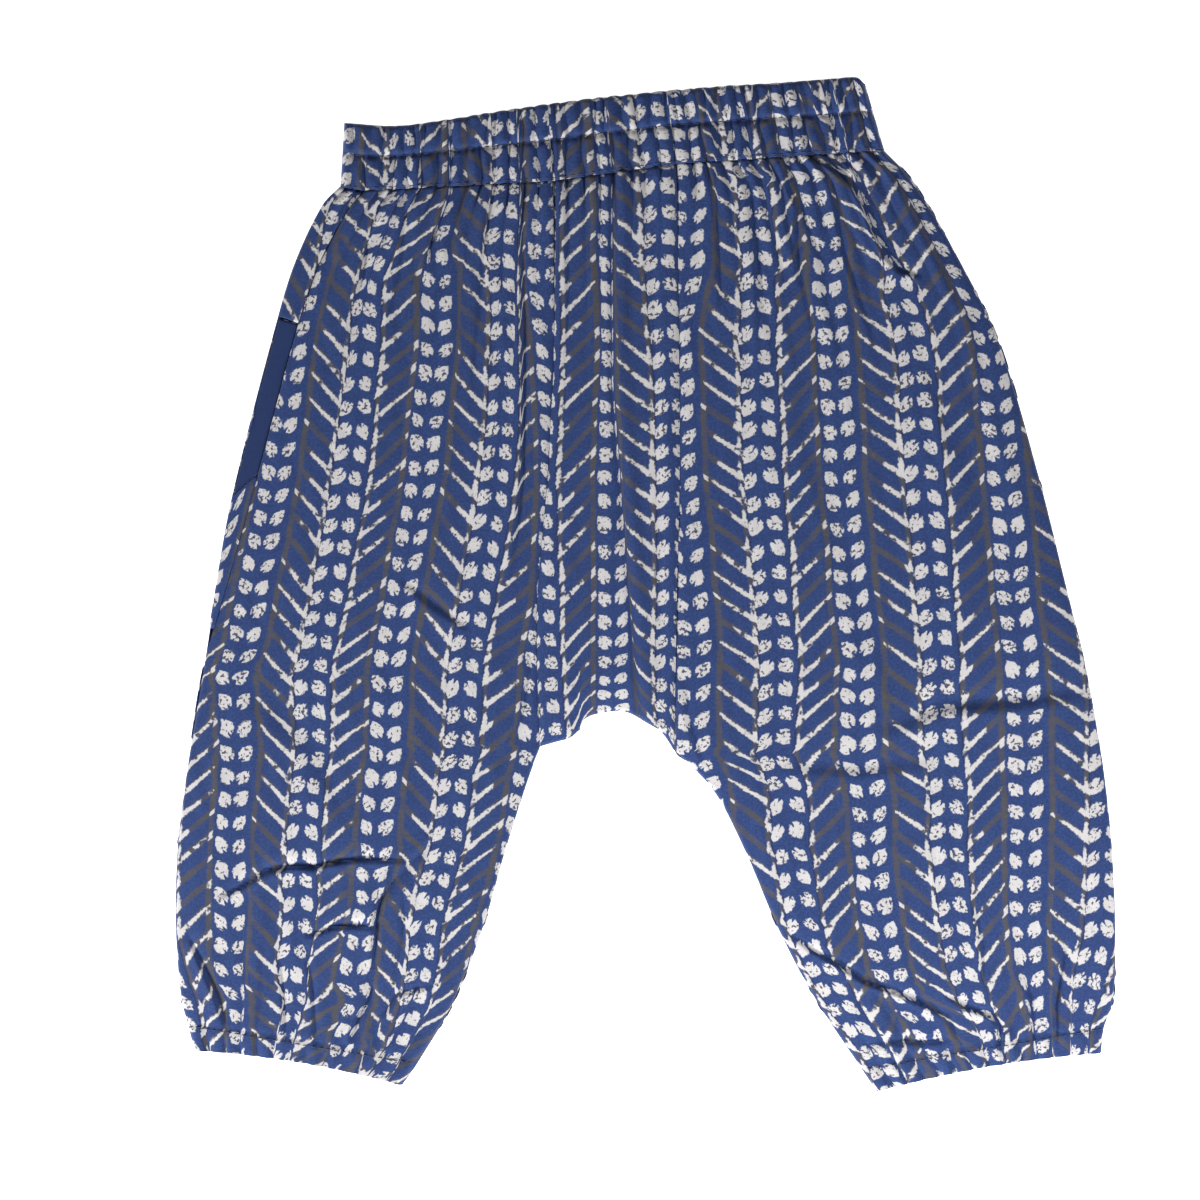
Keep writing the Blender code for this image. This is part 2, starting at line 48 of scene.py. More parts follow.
# Sizes are in millimetres, and a mesh is brought to metres as it is made. A row for each
# height has the side edge of the garment, the side seam, the edge towards the other leg,
# and where the two edges of the front panel lie across the printed cloth.
MM = 0.001
Height = namedtuple("Height", "name outline seam inner print_seam print_inner")


def at_edge(name, outline, *others):
    """A height where the side seam lies at the edge of the garment."""
    return Height(name, outline, outline, *others)


LEGS = {
    "left": (
        Height("waist", (-114.6, 149.1), (-105.6, 147.6), (-34.7, 151.3), 2.5, 115.0),
        Height("yoke", (-121.0, 142.5), (-111.8, 140.0), (-34.5, 141.5), 2.0, 115.0),
        Height("hip", (-131.1, 121.7), (-122.1, 120.9), (-34.3, 120.9), -6.5, 116.0),
        Height("pocket top", (-137.7, 101.0), (-130.1, 98.4), (-34.3, 93.6), -9.0, 113.5),
        Height("pocket foot", (-155.1, 33.0), (-145.6, 41.0), (-36.9, 39.2), -17.8, 107.8),
        Height("low hip", (-162.1, -5.8), (-158.8, -5.8), (-40.7, -5.8), -22.4, 105.8),
        at_edge("seat", (-165.9, -30.2), (-40.7, -31.3), -24.2, 110.5),
        at_edge("crotch", (-171.2, -62.1), (-39.6, -60.9), -31.2, 114.8),
        at_edge("fork", (-173.0, -74.0), (-44.2, -73.6), -32.8, 113.5),
        at_edge("thigh", (-176.0, -99.6), (-52.3, -98.8), -34.5, 108.4),
        at_edge("knee", (-176.6, -129.6), (-61.3, -129.6), -35.0, 108.8),
        at_edge("calf", (-174.5, -155.8), (-72.3, -157.3), -39.5, 103.0),
        at_edge("hem seam", (-171.8, -166.3), (-85.6, -179.8), -39.5, 101.5),
        at_edge("hem edge", (-169.7, -174.9), (-91.3, -188.0), -39.5, 101.0),
    ),
    "right": (
        at_edge("waist", (89.8, 162.9), (11.8, 157.7), 114.0, -15.5),
        at_edge("yoke", (100.6, 151.5), (12.0, 149.5), 114.0, -15.0),
        at_edge("hip", (118.7, 120.9), (12.2, 120.9), 114.3, -13.5),
        at_edge("pocket top", (132.8, 91.7), (12.6, 93.6), 117.5, -8.5),
        at_edge("pocket foot", (147.4, 42.9), (12.9, 42.9), 126.8, -9.9),
        at_edge("low hip", (159.6, -5.8), (11.8, -5.8), 134.3, -15.3),
        at_edge("seat", (165.2, -28.3), (11.4, -30.2), 136.9, -17.2),
        at_edge("crotch", (171.3, -62.1), (10.8, -62.4), 141.5, -17.8),
        at_edge("fork", (173.6, -78.9), (25.4, -77.1), 143.9, -8.7),
        at_edge("thigh", (175.6, -99.6), (37.3, -99.6), 147.1, 1.0),
        at_edge("knee", (176.8, -129.6), (50.1, -129.6), 150.2, 7.9),
        at_edge("calf", (176.0, -155.8), (63.9, -155.8), 157.5, 8.5),
        at_edge("hem seam", (172.4, -166.9), (80.3, -180.6), 158.0, 9.0),
        at_edge("hem edge", (171.4, -175.8), (86.8, -190.3), 158.0, 9.5),
    ),
}
NAMES = [height.name for height in LEGS["left"]]
POCKET_TOP, POCKET_FOOT = NAMES.index("pocket top"), NAMES.index("pocket foot")
CROTCH, HEM = NAMES.index("crotch"), NAMES.index("hem edge")
CROTCH_EDGE = ((-39.6, -60.9), (-33.5, -59.2), (-28.6, -57.8), (-25.4, -55.2), (-23.0, -50.8),
               (-18.5, -48.8), (-8.0, -47.8), (0.9, -52.3), (6.2, -55.8), (10.8, -62.4))

# How thick the laid garment is, from the table up
SEAM_GAP, SEWN_GAP = 0.3, 0.04
BACK_LAYER, FRONT_LAYER = 1.0, 1.6
WAIST_BULK, WAIST_BULK_REACH = 1.4, 30.0
HEM_BULK, HEM_BULK_REACH = 0.8, 12.0
PUFF, PUFF_REACH = 1.5, 14.0
EDGE_ROUND = 1.2
CLOTH = 0.45
HEM_DEPTH, HEM_DOUBLE = 9.0, 0.55
HEM_BOW, HEM_BOW_REACH = 2.2, 18.0


def smooth_curve(points, places):
    """Points of the smooth curve through a table's points, places counted from row to row."""
    spots = np.array(points, float)
    places = np.asarray(places, float)
    first = np.clip(places.astype(int), 0, len(spots) - 2)
    part = (places - first)[:, None]
    spans = np.linalg.norm(np.diff(spots, axis=0), axis=1)
    slopes = np.empty_like(spots)
    slopes[0] = (spots[1] - spots[0]) / spans[0]
    slopes[-1] = (spots[-1] - spots[-2]) / spans[-1]
    slopes[1:-1] = (spots[2:] - spots[:-2]) / (spans[1:] + spans[:-1])[:, None]
    span = spans[first][:, None]
    square, cube = part ** 2, part ** 3
    return (spots[first] * (2 * cube - 3 * square + 1)
            + spots[first + 1] * (3 * square - 2 * cube)
            + slopes[first] * span * (cube - 2 * square + part)
            + slopes[first + 1] * span * (cube - square))


def leg_edge(side, column, places):
    """One of a leg's edges. The inner edge has a corner at the crotch."""
    points = [getattr(height, column) for height in LEGS[side]]
    places = np.asarray(places, float)
    if column != "inner":
        return smooth_curve(points, places)
    upper = smooth_curve(points[:CROTCH + 1], np.minimum(places, CROTCH))
    lower = smooth_curve(points[CROTCH:], np.maximum(places - CROTCH, 0.0))
    return np.where((places <= CROTCH)[:, None], upper, lower)


def table_value(rows, column, places):
    """A column of a table, read at places counted from row to row."""
    return np.interp(places, np.arange(len(rows)), [getattr(row, column) for row in rows])


def path_distance(x, y, path):
    """Distance of each point to a path, its side, and how far along the path it is."""
    nearest = np.full(x.shape, 1e9)
    side, along = np.ones(x.shape), np.zeros(x.shape)
    for index, (start, end) in enumerate(zip(path, path[1:])):
        span_x, span_y = end[0] - start[0], end[1] - start[1]
        length = max(span_x ** 2 + span_y ** 2, 1e-9)
        part = np.clip(((x - start[0]) * span_x + (y - start[1]) * span_y) / length, 0, 1)
        away_x, away_y = x - start[0] - span_x * part, y - start[1] - span_y * part
        away = np.hypot(away_x, away_y)
        closer = away < nearest
        nearest = np.where(closer, away, nearest)
        side = np.where(closer, np.sign(span_x * away_y - span_y * away_x), side)
        along = np.where(closer, (index + part) / (len(path) - 1), along)
    return nearest, side, along


def edge_distance(x, y, paths):
    return np.min([path_distance(x, y, path)[0] for path in paths], axis=0)


FINE = np.arange(0, HEM + 0.01, 0.25)
SIDE_EDGES = [leg_edge(side, "outline", FINE) for side in LEGS]
SIDE_EDGES += [leg_edge(side, "inner", FINE[FINE >= CROTCH]) for side in LEGS]
SIDE_EDGES.append(smooth_curve(CROTCH_EDGE, np.arange(0, len(CROTCH_EDGE) - 0.99, 0.25)))
WAIST_LINE = [LEGS["left"][0].outline, LEGS["left"][0].inner,
              LEGS["right"][0].inner, LEGS["right"][0].outline]
HEM_LINES = [[LEGS[side][HEM].outline, LEGS[side][HEM].inner] for side in LEGS]


def bell(distance, width):
    return np.exp(-(distance / width) ** 2)


def rounded(distance, reach):
    """Rises from 0 at an edge to 1 at its reach, as a quarter circle does."""
    left = 1.0 - np.clip(distance / reach, 0, 1)
    return np.sqrt(np.maximum(1.0 - left ** 2, 0.0))


def back_top(x, y):
    waist = WAIST_BULK * np.exp(-edge_distance(x, y, [WAIST_LINE]) / WAIST_BULK_REACH)
    hem = HEM_BULK * np.exp(-edge_distance(x, y, HEM_LINES) / HEM_BULK_REACH)
    return BACK_LAYER + waist + hem


def front_inside(x, y):
    free = edge_distance(x, y, SIDE_EDGES + [WAIST_LINE] + HEM_LINES)
    left = 1.0 - np.clip(free / PUFF_REACH, 0, 1)
    return back_top(x, y) + SEAM_GAP + PUFF * (1.0 - left ** 2)


# Gathers: each crest has its own height and fades out at its own distance
WAIST_GATHER, BACK_GATHER, HEM_GATHER = 1.7, 0.8, 1.3
FADES, VALLEY = (16.0, 20.0, 26.0, 34.0, 60.0), -0.4
HEM_FADES = (7.0, 10.0, 14.0, 20.0, 34.0)
# How far off the hem is taken to be in the gusset and the band, which have none
GUSSET_HEM, BAND_HEM = 300.0, 900.0


class Gathers:
    """The uneven gathers across a panel, in valleys and crests."""

    def __init__(self, count, seed):
        chance = random.Random(seed)
        rows = [(0.0, VALLEY, FADES[0])]
        for column in range(1, 2 * count):
            place = (column + chance.uniform(-0.2, 0.2)) / (2 * count)
            crest = chance.uniform(0.65, 1.1) if column % 2 else VALLEY
            rows.append((place, crest, chance.choice(FADES)))
        rows.append((1.0, VALLEY, FADES[0]))
        self.places, self.crests, self.fades = np.array(rows).T
        self.takes = [chance.uniform(0.4, 1.6) for _ in rows]
        self.hem_fades = np.array([chance.choice(HEM_FADES) for _ in rows])
        self.wander = [chance.uniform(0, 6.28) for _ in range(3)]

    def hidden(self, across, waist, hem, spare):
        """How much of the spare cloth of each row its valleys have hidden by each point."""
        taken, whole = np.zeros(across.shape), 0.0
        shares = [take * (np.exp(-waist / fade) + np.exp(-hem / hem_fade))
                  for take, fade, hem_fade in zip(self.takes, self.fades, self.hem_fades)][2:-2:2]
        total = np.maximum(np.sum(shares, axis=0), 0.3 * sum(self.takes[2:-2:2]))
        for place, share in zip(self.places[2:-2:2], shares):
            amount = spare * share / total
            taken = taken + amount * np.clip(0.5 + (across - place) * 90.0, 0, 1)
            whole = whole + amount
        return taken, whole

    def height(self, across, waist, hem, waist_gather, hem_gather):
        """Height of the gathers, rounded on their crests and sharper in their valleys."""
        first, second, third = self.wander
        bend = 0.005 * np.sin(waist / 9.0 + first + 40.0 * across)
        bend = across + bend + 0.004 * np.sin(hem / 5.0 + second)
        across = np.clip(bend + 0.004 * np.sin(across * 90.0 + third), 0, 1)
        near = np.clip(np.searchsorted(self.places, across) - 1, 0, len(self.places) - 2)
        part = (across - self.places[near]) / (self.places[near + 1] - self.places[near])
        part = np.clip(part, 0, 1)
        rising = self.crests[near + 1] > self.crests[near]
        share = np.where(rising, part, 1.0 - part)
        swell = np.sin(0.5 * np.pi * share) ** 0.85
        crest = np.where(rising, near + 1, near)
        form = VALLEY + (self.crests[crest] - VALLEY) * swell
        at_waist = waist_gather * np.exp(-waist / self.fades[crest])
        return form * (at_waist + hem_gather * np.exp(-hem / self.hem_fades[crest]))


GATHERS = {"left": Gathers(13, 3), "middle": Gathers(8, 5), "right": Gathers(14, 7),
           "band": Gathers(38, 9)}


def crinkle(across, down, seed, count=9):
    """Small uneven creases that run along the cloth, between -1 and 1."""
    chance = random.Random(seed)
    total = np.zeros(np.broadcast(across, down).shape)
    for _ in range(count):
        pitch, lean = chance.uniform(6.0, 17.0), chance.uniform(-0.12, 0.12)
        start, slow = chance.uniform(0, 6.28), chance.uniform(60.0, 150.0)
        total = total + (np.sin(2 * np.pi * (across + lean * down) / pitch + start)
                         * np.sin(2 * np.pi * down / slow + start * 3.0))
    return total / count


def sum_up(mesh):
    """Six times the volume of a closed mesh, which is negative if it is inside out."""
    mesh.calc_loop_triangles()
    corners = np.empty(len(mesh.loop_triangles) * 3, np.int32)
    mesh.loop_triangles.foreach_get("vertices", corners)
    places = np.empty(len(mesh.vertices) * 3)
    mesh.vertices.foreach_get("co", places)
    a, b, c = places.reshape(-1, 3)[corners.reshape(-1, 3)].transpose(1, 0, 2)
    return float(np.einsum("ij,ij->i", a, np.cross(b, c)).sum())


def put_down(name, points, faces, finish):
    """A smooth piece in the scene, from points in millimetres and faces."""
    mesh = bpy.data.meshes.new(name)
    mesh.from_pydata((np.asarray(points, float) * MM).tolist(), [], faces)
    mesh.materials.append(finish)
    mesh.shade_smooth()
    piece = bpy.data.objects.new(name, mesh)
    bpy.context.scene.collection.objects.link(piece)
    return piece


def shell(name, layers, cloth, up):
    """A thin closed cloth from grids of outer points, given as x, y, z, thickness, u and v."""
    points, faces, prints = [], [], []
    for x, y, z, thick, u, v in layers:
        outer = np.stack([x, y, z], axis=-1)
        down_step, across_step = np.gradient(outer, axis=0), np.gradient(outer, axis=1)
        normal = np.cross(across_step, down_step)
        normal /= np.maximum(np.linalg.norm(normal, axis=-1, keepdims=True), 1e-9)
        normal *= np.where(np.median(normal[..., 2]) * up < 0, -1.0, 1.0)
        inner = outer - normal * np.broadcast_to(thick, x.shape)[..., None]
        rows, columns = x.shape
        first = sum(len(part) for part in points)
        index = np.arange(rows * columns).reshape(rows, columns)
        quads = np.stack([index[:-1, :-1], index[:-1, 1:], index[1:, 1:], index[1:, :-1]], -1)
        rim = np.concatenate([index[0, :-1], index[:-1, -1], index[-1, :0:-1], index[:0:-1, 0]])
        following = np.roll(rim, -1)
        under = rows * columns
        sides = np.stack([rim, rim + under, following + under, following], -1)
        quads = quads.reshape(-1, 4)
        for part in (quads, quads[:, ::-1] + under, sides):
            faces.append(part + first)
        points += [outer.reshape(-1, 3), inner.reshape(-1, 3)]
        prints += [np.stack(np.broadcast_arrays(u, v), -1).reshape(-1, 2)] * 2
    piece = put_down(name, np.concatenate(points), np.concatenate(faces).tolist(), cloth)
    mesh, prints = piece.data, np.concatenate(prints) * MM
    layer = mesh.uv_layers.new(name="cloth")
    corners = np.empty(len(mesh.loops), np.int32)
    mesh.loops.foreach_get("vertex_index", corners)
    layer.data.foreach_set("uv", prints[corners].astype(np.float32).ravel())
    if sum_up(mesh) < 0:
        mesh.flip_normals()
    return piece


RIM_STEPS = (0.0, 0.05, 0.2, 0.45, 0.8, 1.2, 1.8)


def run_along(line):
    """How far along a line each of its points is."""
    return np.concatenate([[0], np.cumsum(np.linalg.norm(np.diff(line, axis=0), axis=1))])


def even_places(side, last, step):
    """Row places a step apart down a leg, with close ones at its foot."""
    fine = np.linspace(0, last, 60 * int(last) + 1)
    line = 0.5 * (leg_edge(side, "outline", fine) + leg_edge(side, "inner", fine))
    reach = run_along(line)
    body = np.arange(0, reach[-1] - 2.0, step)
    return np.interp(np.concatenate([body, reach[-1] - np.array(RIM_STEPS[::-1])]), reach, fine)


def across_places(width, count):
    """Column places across rows of these widths, close together at both edges."""
    rim = np.array(RIM_STEPS)[None, :] / width[:, None]
    middle = np.linspace(0, 1, count)[None, 1:-1]
    start, end = rim[:, -1:], 1 - rim[:, -1:]
    return np.concatenate([rim, start + (end - start) * middle, 1 - rim[:, ::-1]], axis=1)


def spread(start, course, share):
    """x and y of points that lie at shares of the course from each start."""
    return [start[:, axis, None] + course[:, axis, None] * share for axis in (0, 1)]


Tuck = namedtuple("Tuck", "name panel hides path")
TUCKS = (
    Tuck("left waist tuck", "left", (9.0, 6.0, 0.0), ((-73.0, 147.2), (-79.5, 130.0), (-84.0, 112.0))),
    Tuck("gusset tuck", "left", (10.5, 9.0, 4.5, 0.0),
         ((-46.7, 150.0), (-46.5, 103.0), (-45.9, 52.0), (-50.0, -2.0))),
    Tuck("middle tuck", "middle", (9.0, 9.0, 5.0, 4.0),
         ((-12.5, 154.0), (-12.5, 77.0), (-7.0, 10.0), (-2.0, -52.0))),
    Tuck("drape tuck", "right", (10.0, 9.0, 0.0), ((76.0, 160.0), (87.2, 129.0), (106.0, 108.0))),
    Tuck("inner tuck", "right", (4.0, 3.5, 0.0), ((26.5, 158.0), (27.0, 130.0), (28.0, 100.0))),
)
TUCK_PATHS = {tuck.name: tuck.path for tuck in TUCKS}
GATHERED_SHARE, RISE_TAKES, ABOVE_CROTCH = 0.8, 1.5, -50.0


def printed(panel, x, y, z, across, start, end, gathers):
    """Where each point lies on the flat printed cloth, for a panel with these edge prints.

    Across the print, cloth is taken up by gathers and hidden by tucks. Down the print, an
    edge moves as far as its length allows, because cotton doesn't stretch along it."""
    run = np.hypot(np.diff(x, axis=1), np.diff(y, axis=1))
    reach = np.hypot(run, RISE_TAKES * np.diff(z, axis=1))
    share = np.concatenate([np.zeros((len(x), 1)), np.cumsum(reach, axis=1)], axis=1)
    share = share / share[:, -1:]
    hidden, steps = np.zeros(len(x)), np.zeros(x.shape)
    way, height = np.sign(end[0] - start[0]), y.mean(axis=1)
    for tuck in TUCKS:
        if tuck.panel != panel:
            continue
        path = np.array(tuck.path)[::-1]
        hides = np.interp(height, path[:, 1], tuck.hides[::-1], right=tuck.hides[0], left=0.0)
        if path[0, 1] < ABOVE_CROTCH:
            hides = np.maximum(hides, (height < ABOVE_CROTCH) * tuck.hides[-1])
        before = np.clip(0.5 + (x - np.interp(y, path[:, 1], path[:, 0])), 0, 1)
        if x[0, 0] > x[0, -1]:
            before = 1.0 - before
        steps += hides[:, None] * before * way
        hidden += hides * way
    spare = GATHERED_SHARE * np.maximum(np.abs(end - start - hidden) - run.sum(axis=1), 0.0)
    waist = edge_distance(x, y, [WAIST_LINE]).mean(axis=1)[:, None]
    hem = edge_distance(x, y, HEM_LINES).mean(axis=1)[:, None]
    taken, whole = gathers.hidden(across, waist, hem, spare[:, None])
    laid = (end - start - hidden)[:, None] - whole * way
    u = start[:, None] + laid * share + steps + taken * way

    def down(column, edge_print):
        length = np.hypot(np.diff(x[:, column]), np.diff(y[:, column]))
        step = np.sqrt(np.maximum(length ** 2 - np.diff(edge_print) ** 2, 0.2 * length ** 2))
        return np.concatenate([[0], np.cumsum(step)])

    first, last = down(0, start), down(-1, end)
    return u, first[:, None] + (last - first)[:, None] * across


def worked_out(operation, turned=False):
    """A method that works out a new value from a socket and another value."""
    def method(self, *others):
        values = (self, *others)
        return self.math(operation, *(values[::-1] if turned else values))
    return method


class Dye:
    """A socket of a material, so that a print can be written as a formula."""

    def __init__(self, tree, socket):
        self.tree, self.socket = tree, socket

    def node(self, kind, settings, values, output=0):
        made = self.tree.nodes.new(kind)
        for name, setting in settings.items():
            setattr(made, name, setting)
        for name, value in values.items():
            if isinstance(value, Dye):
                self.tree.links.new(value.socket, made.inputs[name])
            else:
                made.inputs[name].default_value = value
        return Dye(self.tree, made.outputs[output])

    def math(self, operation, *values):
        return self.node("ShaderNodeMath", {"operation": operation}, dict(enumerate(values)))

    __add__ = __radd__ = worked_out("ADD")
    __mul__ = __rmul__ = worked_out("MULTIPLY")
    __sub__, __rsub__ = worked_out("SUBTRACT"), worked_out("SUBTRACT", turned=True)
    __truediv__, __mod__ = worked_out("DIVIDE"), worked_out("FLOORED_MODULO")
    __abs__, __gt__ = worked_out("ABSOLUTE"), worked_out("GREATER_THAN")
    floor, either, least = worked_out("FLOOR"), worked_out("MAXIMUM"), worked_out("MINIMUM")

    def under(self, edge, soft):
        """1 where this is well under an edge and 0 well over it, with a soft border."""
        return self.node("ShaderNodeMapRange", {"interpolation_type": "SMOOTHSTEP"},
                         {"Value": self - edge, "From Min": -soft, "From Max": soft,
                          "To Min": 1.0, "To Max": 0.0})

    def place(self, other, third=0.0):
        return self.node("ShaderNodeCombineXYZ", {}, {"X": self, "Y": other, "Z": third})

    def noise(self, scale, detail=2.0):
        """Cloudy values round 0.5, with as many patches as scale in each unit of a place."""
        return self.node("ShaderNodeTexNoise", {}, {"Vector": self, "Scale": scale, "Detail": detail})

    def chance(self):
        """One random value for each whole-numbered place."""
        return self.node("ShaderNodeTexWhiteNoise", {"noise_dimensions": "3D"}, {"Vector": self})

    def tint(self, first, second):
        """A colour between two, this far from the first."""
        return self.node("ShaderNodeMix", {"data_type": "RGBA"}, {0: self, 6: first, 7: second}, 2)

    def into(self, shader, name):
        """Let this vary one of the shader's sockets."""
        self.tree.links.new(self.socket, shader.inputs[name])


# The print repeats each 60.5 mm across: bars that fall to the right, leaf pairs that close
# upwards, bars that rise, and leaf pairs that open upwards. Rows are 9 mm apart. The rows
# of rising bars, of open pairs and of each next repeat start a part of a row lower.
REPEAT, ROW, LEAD = 60.5, 9.0, 15.0
RISING_START, OPEN_START, REPEAT_START = 0.3, 0.42, 0.17
GREY_WEAR, CREAM_WEAR = 1.4, 1.8
BARS_FALL, BARS_RISE, BAR_HALF = 6.4, 35.9, 6.5
LEAVES_CLOSE, LEAVES_OPEN, LEAF_APART = 20.1, 50.65, 3.7
BAR_DROP, BAR_SPOT, LINE_OUT = 0.84, 0.2, 1.2
GREY_HALF, STROKE_HALF, LINE_HALF = 1.10, 0.68, 0.90
LEAF_WIDE, LEAF_LONG, LEAF_TILT = 2.2, 3.6, 0.62
BLUE, DEEP_BLUE = (0.0132, 0.0345, 0.124, 1), (0.0070, 0.0200, 0.082, 1)
NAVY = (0.006, 0.007, 0.026, 1)
GREY, BROWN_GREY = (0.060, 0.059, 0.068, 1), (0.027, 0.024, 0.027, 1)
CREAM, WORN_CREAM = (0.430, 0.420, 0.425, 1), (0.300, 0.285, 0.285, 1)


def new_finish(name, **settings):
    """A material and its shader, with the settings that stay the same all over."""
    finish = bpy.data.materials.new(name)
    finish.use_nodes = True
    shader = finish.node_tree.nodes["Principled BSDF"]
    for socket, value in settings.items():
        shader.inputs[socket.replace("_", " ")].default_value = value
    return finish, shader


def new_cotton(name):
    """A matt cotton, its shader, and where a point lies across and down the flat cloth."""
    cloth, shader = new_finish(name, Sheen_Weight=0.08, Sheen_Roughness=0.5, Specular_IOR_Level=0.25)
    uv = Dye(cloth.node_tree, None).node("ShaderNodeUVMap", {"uv_map": "cloth"}, {})
    u = uv.node("ShaderNodeSeparateXYZ", {}, {"Vector": uv}, 0) / MM
    v = uv.node("ShaderNodeSeparateXYZ", {}, {"Vector": uv}, 1) / MM
    return cloth, shader, u, v


def weave(u, v):
    """Threads both ways, thicker and thinner in places."""
    along = u.place(v * 0.08).noise(3.0)
    across = (u * 0.08).place(v).noise(3.4)
    return along, across


def finish_cotton(shader, colour, u, v, along, across):
    """The colour of a cotton, the relief of its threads and its uneven sheen."""
    warp = abs(((u * 2.6 + along * 0.5) % 1.0) - 0.5)
    weft = abs(((v * 2.6 + across * 0.5) % 1.0) - 0.5)
    fine = u.place(v).noise(0.35, 3.0)
    height = warp * 0.5 + weft * 0.5 + fine * 2.5 + across * 0.7
    bump = height.node("ShaderNodeBump", {}, {"Height": height, "Strength": 0.5, "Distance": 0.00008})
    bump.into(shader, "Normal")
    colour.into(shader, "Base Color")
    (fine * 0.12 + 0.78).into(shader, "Roughness")


def herringbone(u, v, rag, patch):
    """Where grey, cream and a thin dark line fall on the bars and along both their ends."""
    shifted = (u + LEAD) % REPEAT - LEAD
    repeat = ((u + LEAD) / REPEAT).floor()
    rises = shifted > (BARS_FALL + BARS_RISE) / 2
    x = shifted - (rises * (BARS_RISE - BARS_FALL) + BARS_FALL)
    to_foot = x - rises * x * 2.0
    count = (v - to_foot * BAR_DROP) / ROW + rises * RISING_START
    bar = count.floor()
    part = count - bar - 0.5
    luck = bar.place(rises + repeat * 2.0).chance()
    more_luck = bar.place(rises + repeat * 2.0, 5.0).chance()
    away = (part - BAR_SPOT) * (ROW / math.hypot(1.0, BAR_DROP))
    across = abs(x)
    inside = across.under(BAR_HALF, 0.2)
    grey_bar = (abs(away + 0.15) + rag * GREY_WEAR).under(GREY_HALF, 0.5) * inside
    reach = BAR_HALF - (luck * 1.9 + patch * 1.3 - 0.85).either(0.0) * 2 * BAR_HALF
    stroke = (abs(away) + rag * CREAM_WEAR - to_foot * 0.05).under(STROKE_HALF, 0.28)
    cream_bar = stroke * inside * (reach - to_foot).under(0.0, 0.6)

    side = abs(across - BAR_HALF)
    at_foot = to_foot > 0.0
    thick = (1.0 - at_foot) * 0.35 + patch * 1.1 + 0.20
    grey_line = (side + rag * GREY_WEAR).under(thick, 0.5)
    dark_line = abs(across - BAR_HALF - LINE_OUT).under(0.28, 0.22) * at_foot
    climbs = (BAR_SPOT - part) / (more_luck * 0.35 + 0.42)
    drop = more_luck * 0.5 + rises * 0.18 - 0.34
    drops = (part - BAR_SPOT) / drop.either(0.001)
    arm = climbs.under(1.0, 0.15) * part.under(BAR_SPOT + 0.1, 0.03) * luck.under(0.86, 0.01)
    hook = drops.under(1.0, 0.15) * (BAR_SPOT - part).under(0.08, 0.03) * (drop > 0.03)
    shrink = climbs * at_foot * 0.75 - more_luck * at_foot * 0.45
    where = (arm * at_foot).either(hook * (1.0 - at_foot))
    cream_line = (side + shrink + rag * CREAM_WEAR).under(LINE_HALF, 0.28) * where
    return grey_bar.either(grey_line), cream_bar.either(cream_line), dark_line


def leaves(u, v, rag, speck):
    """Where leaves lie, and how much of each is left unprinted by the worn block."""
    place = u % REPEAT
    repeat = (u / REPEAT).floor()
    opens = place > (LEAVES_CLOSE + LEAVES_OPEN) / 2
    x = place - (opens * (LEAVES_OPEN - LEAVES_CLOSE) + LEAVES_CLOSE)
    right = x > 0.0
    rows = v / ROW + opens * OPEN_START + repeat * REPEAT_START
    row = rows.floor()
    column = repeat * 4.0 + opens * 2.0 + right
    twist, size, slip = (row.place(column, float(kind)).chance() for kind in range(3))
    out = abs(x) - LEAF_APART + (slip - 0.5) * 0.7
    down = (rows - row - 0.5) * ROW + (size - 0.5) * 0.8
    way = opens * 2.0 - 1.0
    tilt = way * (twist * 0.3 + right * 0.05 + LEAF_TILT - 0.15)
    turn, lean = tilt.math("COSINE", tilt), tilt.math("SINE", tilt)
    along, wide = down * turn - out * lean, out * turn + down * lean
    length = along * way / LEAF_LONG
    breadth = abs(wide) / ((slip * 0.35 + LEAF_WIDE) * (length * 0.2 + 1.0))
    edge = breadth.math("POWER", breadth, 1.15) + length * length
    whole = (edge + rag).under(size * 0.26 + 0.90, 0.14)
    split = (abs(wide + slip * 0.8 - 0.4) + rag * 0.9 - length * 1.15).under(-0.42, 0.14)
    kept = (speck + (twist - 0.5) * 0.12 - edge * 0.02).under(0.585, 0.05)
    return whole * (1.0 - split), kept


def printed_cotton():
    cloth, shader, flat_u, flat_v = new_cotton("printed_cotton")
    drift = (flat_u * 0.5).place(flat_v * 0.5, 3.0).noise(0.05, 1.0)
    drift_too = (flat_u * 0.5).place(flat_v * 0.5, 9.0).noise(0.05, 1.0)
    u = flat_u + (drift - 0.5) * 3.0
    v = flat_v + (drift_too - 0.5) * 6.0
    spot = flat_u.place(flat_v)
    rag = spot.noise(0.8, 3.0) - 0.5
    speck = spot.noise(0.75, 2.0)
    grain = spot.noise(1.1, 3.0)
    patch = spot.noise(0.13, 1.0)
    thread_along, thread_across = weave(flat_u, flat_v)

    grey, cream, dark_line = herringbone(u, v, rag, patch)
    leaf, kept = leaves(u, v, rag, speck)
    ground = (patch * 0.8 + thread_across * 0.6 + grain * 3.2 - 1.84).tint(DEEP_BLUE, BLUE)
    grey_tone = (thread_across * 0.9 + speck * 0.6 - 0.3).tint(BROWN_GREY, GREY)
    faded = (patch * 1.3 + thread_across * 0.5 - 0.1).either(0.4).least(0.95)
    base = (grey * faded).tint(ground, grey_tone)
    base = (dark_line * 0.6).tint(base, NAVY)
    base = (leaf * (1.0 - kept) * (speck * 8.0 - 4.2).either(0.0).least(1.0)).tint(base, grey_tone)
    cream_tone = (thread_along * 0.9 + patch * 0.5 - 0.1).tint(WORN_CREAM, CREAM)
    broken = cream * spot.noise(0.28, 2.0).under(0.60, 0.05)
    colour = (leaf * kept).either(broken).tint(base, cream_tone)
    finish_cotton(shader, colour, flat_u, flat_v, thread_along, thread_across)
    return cloth


COTTON = printed_cotton()


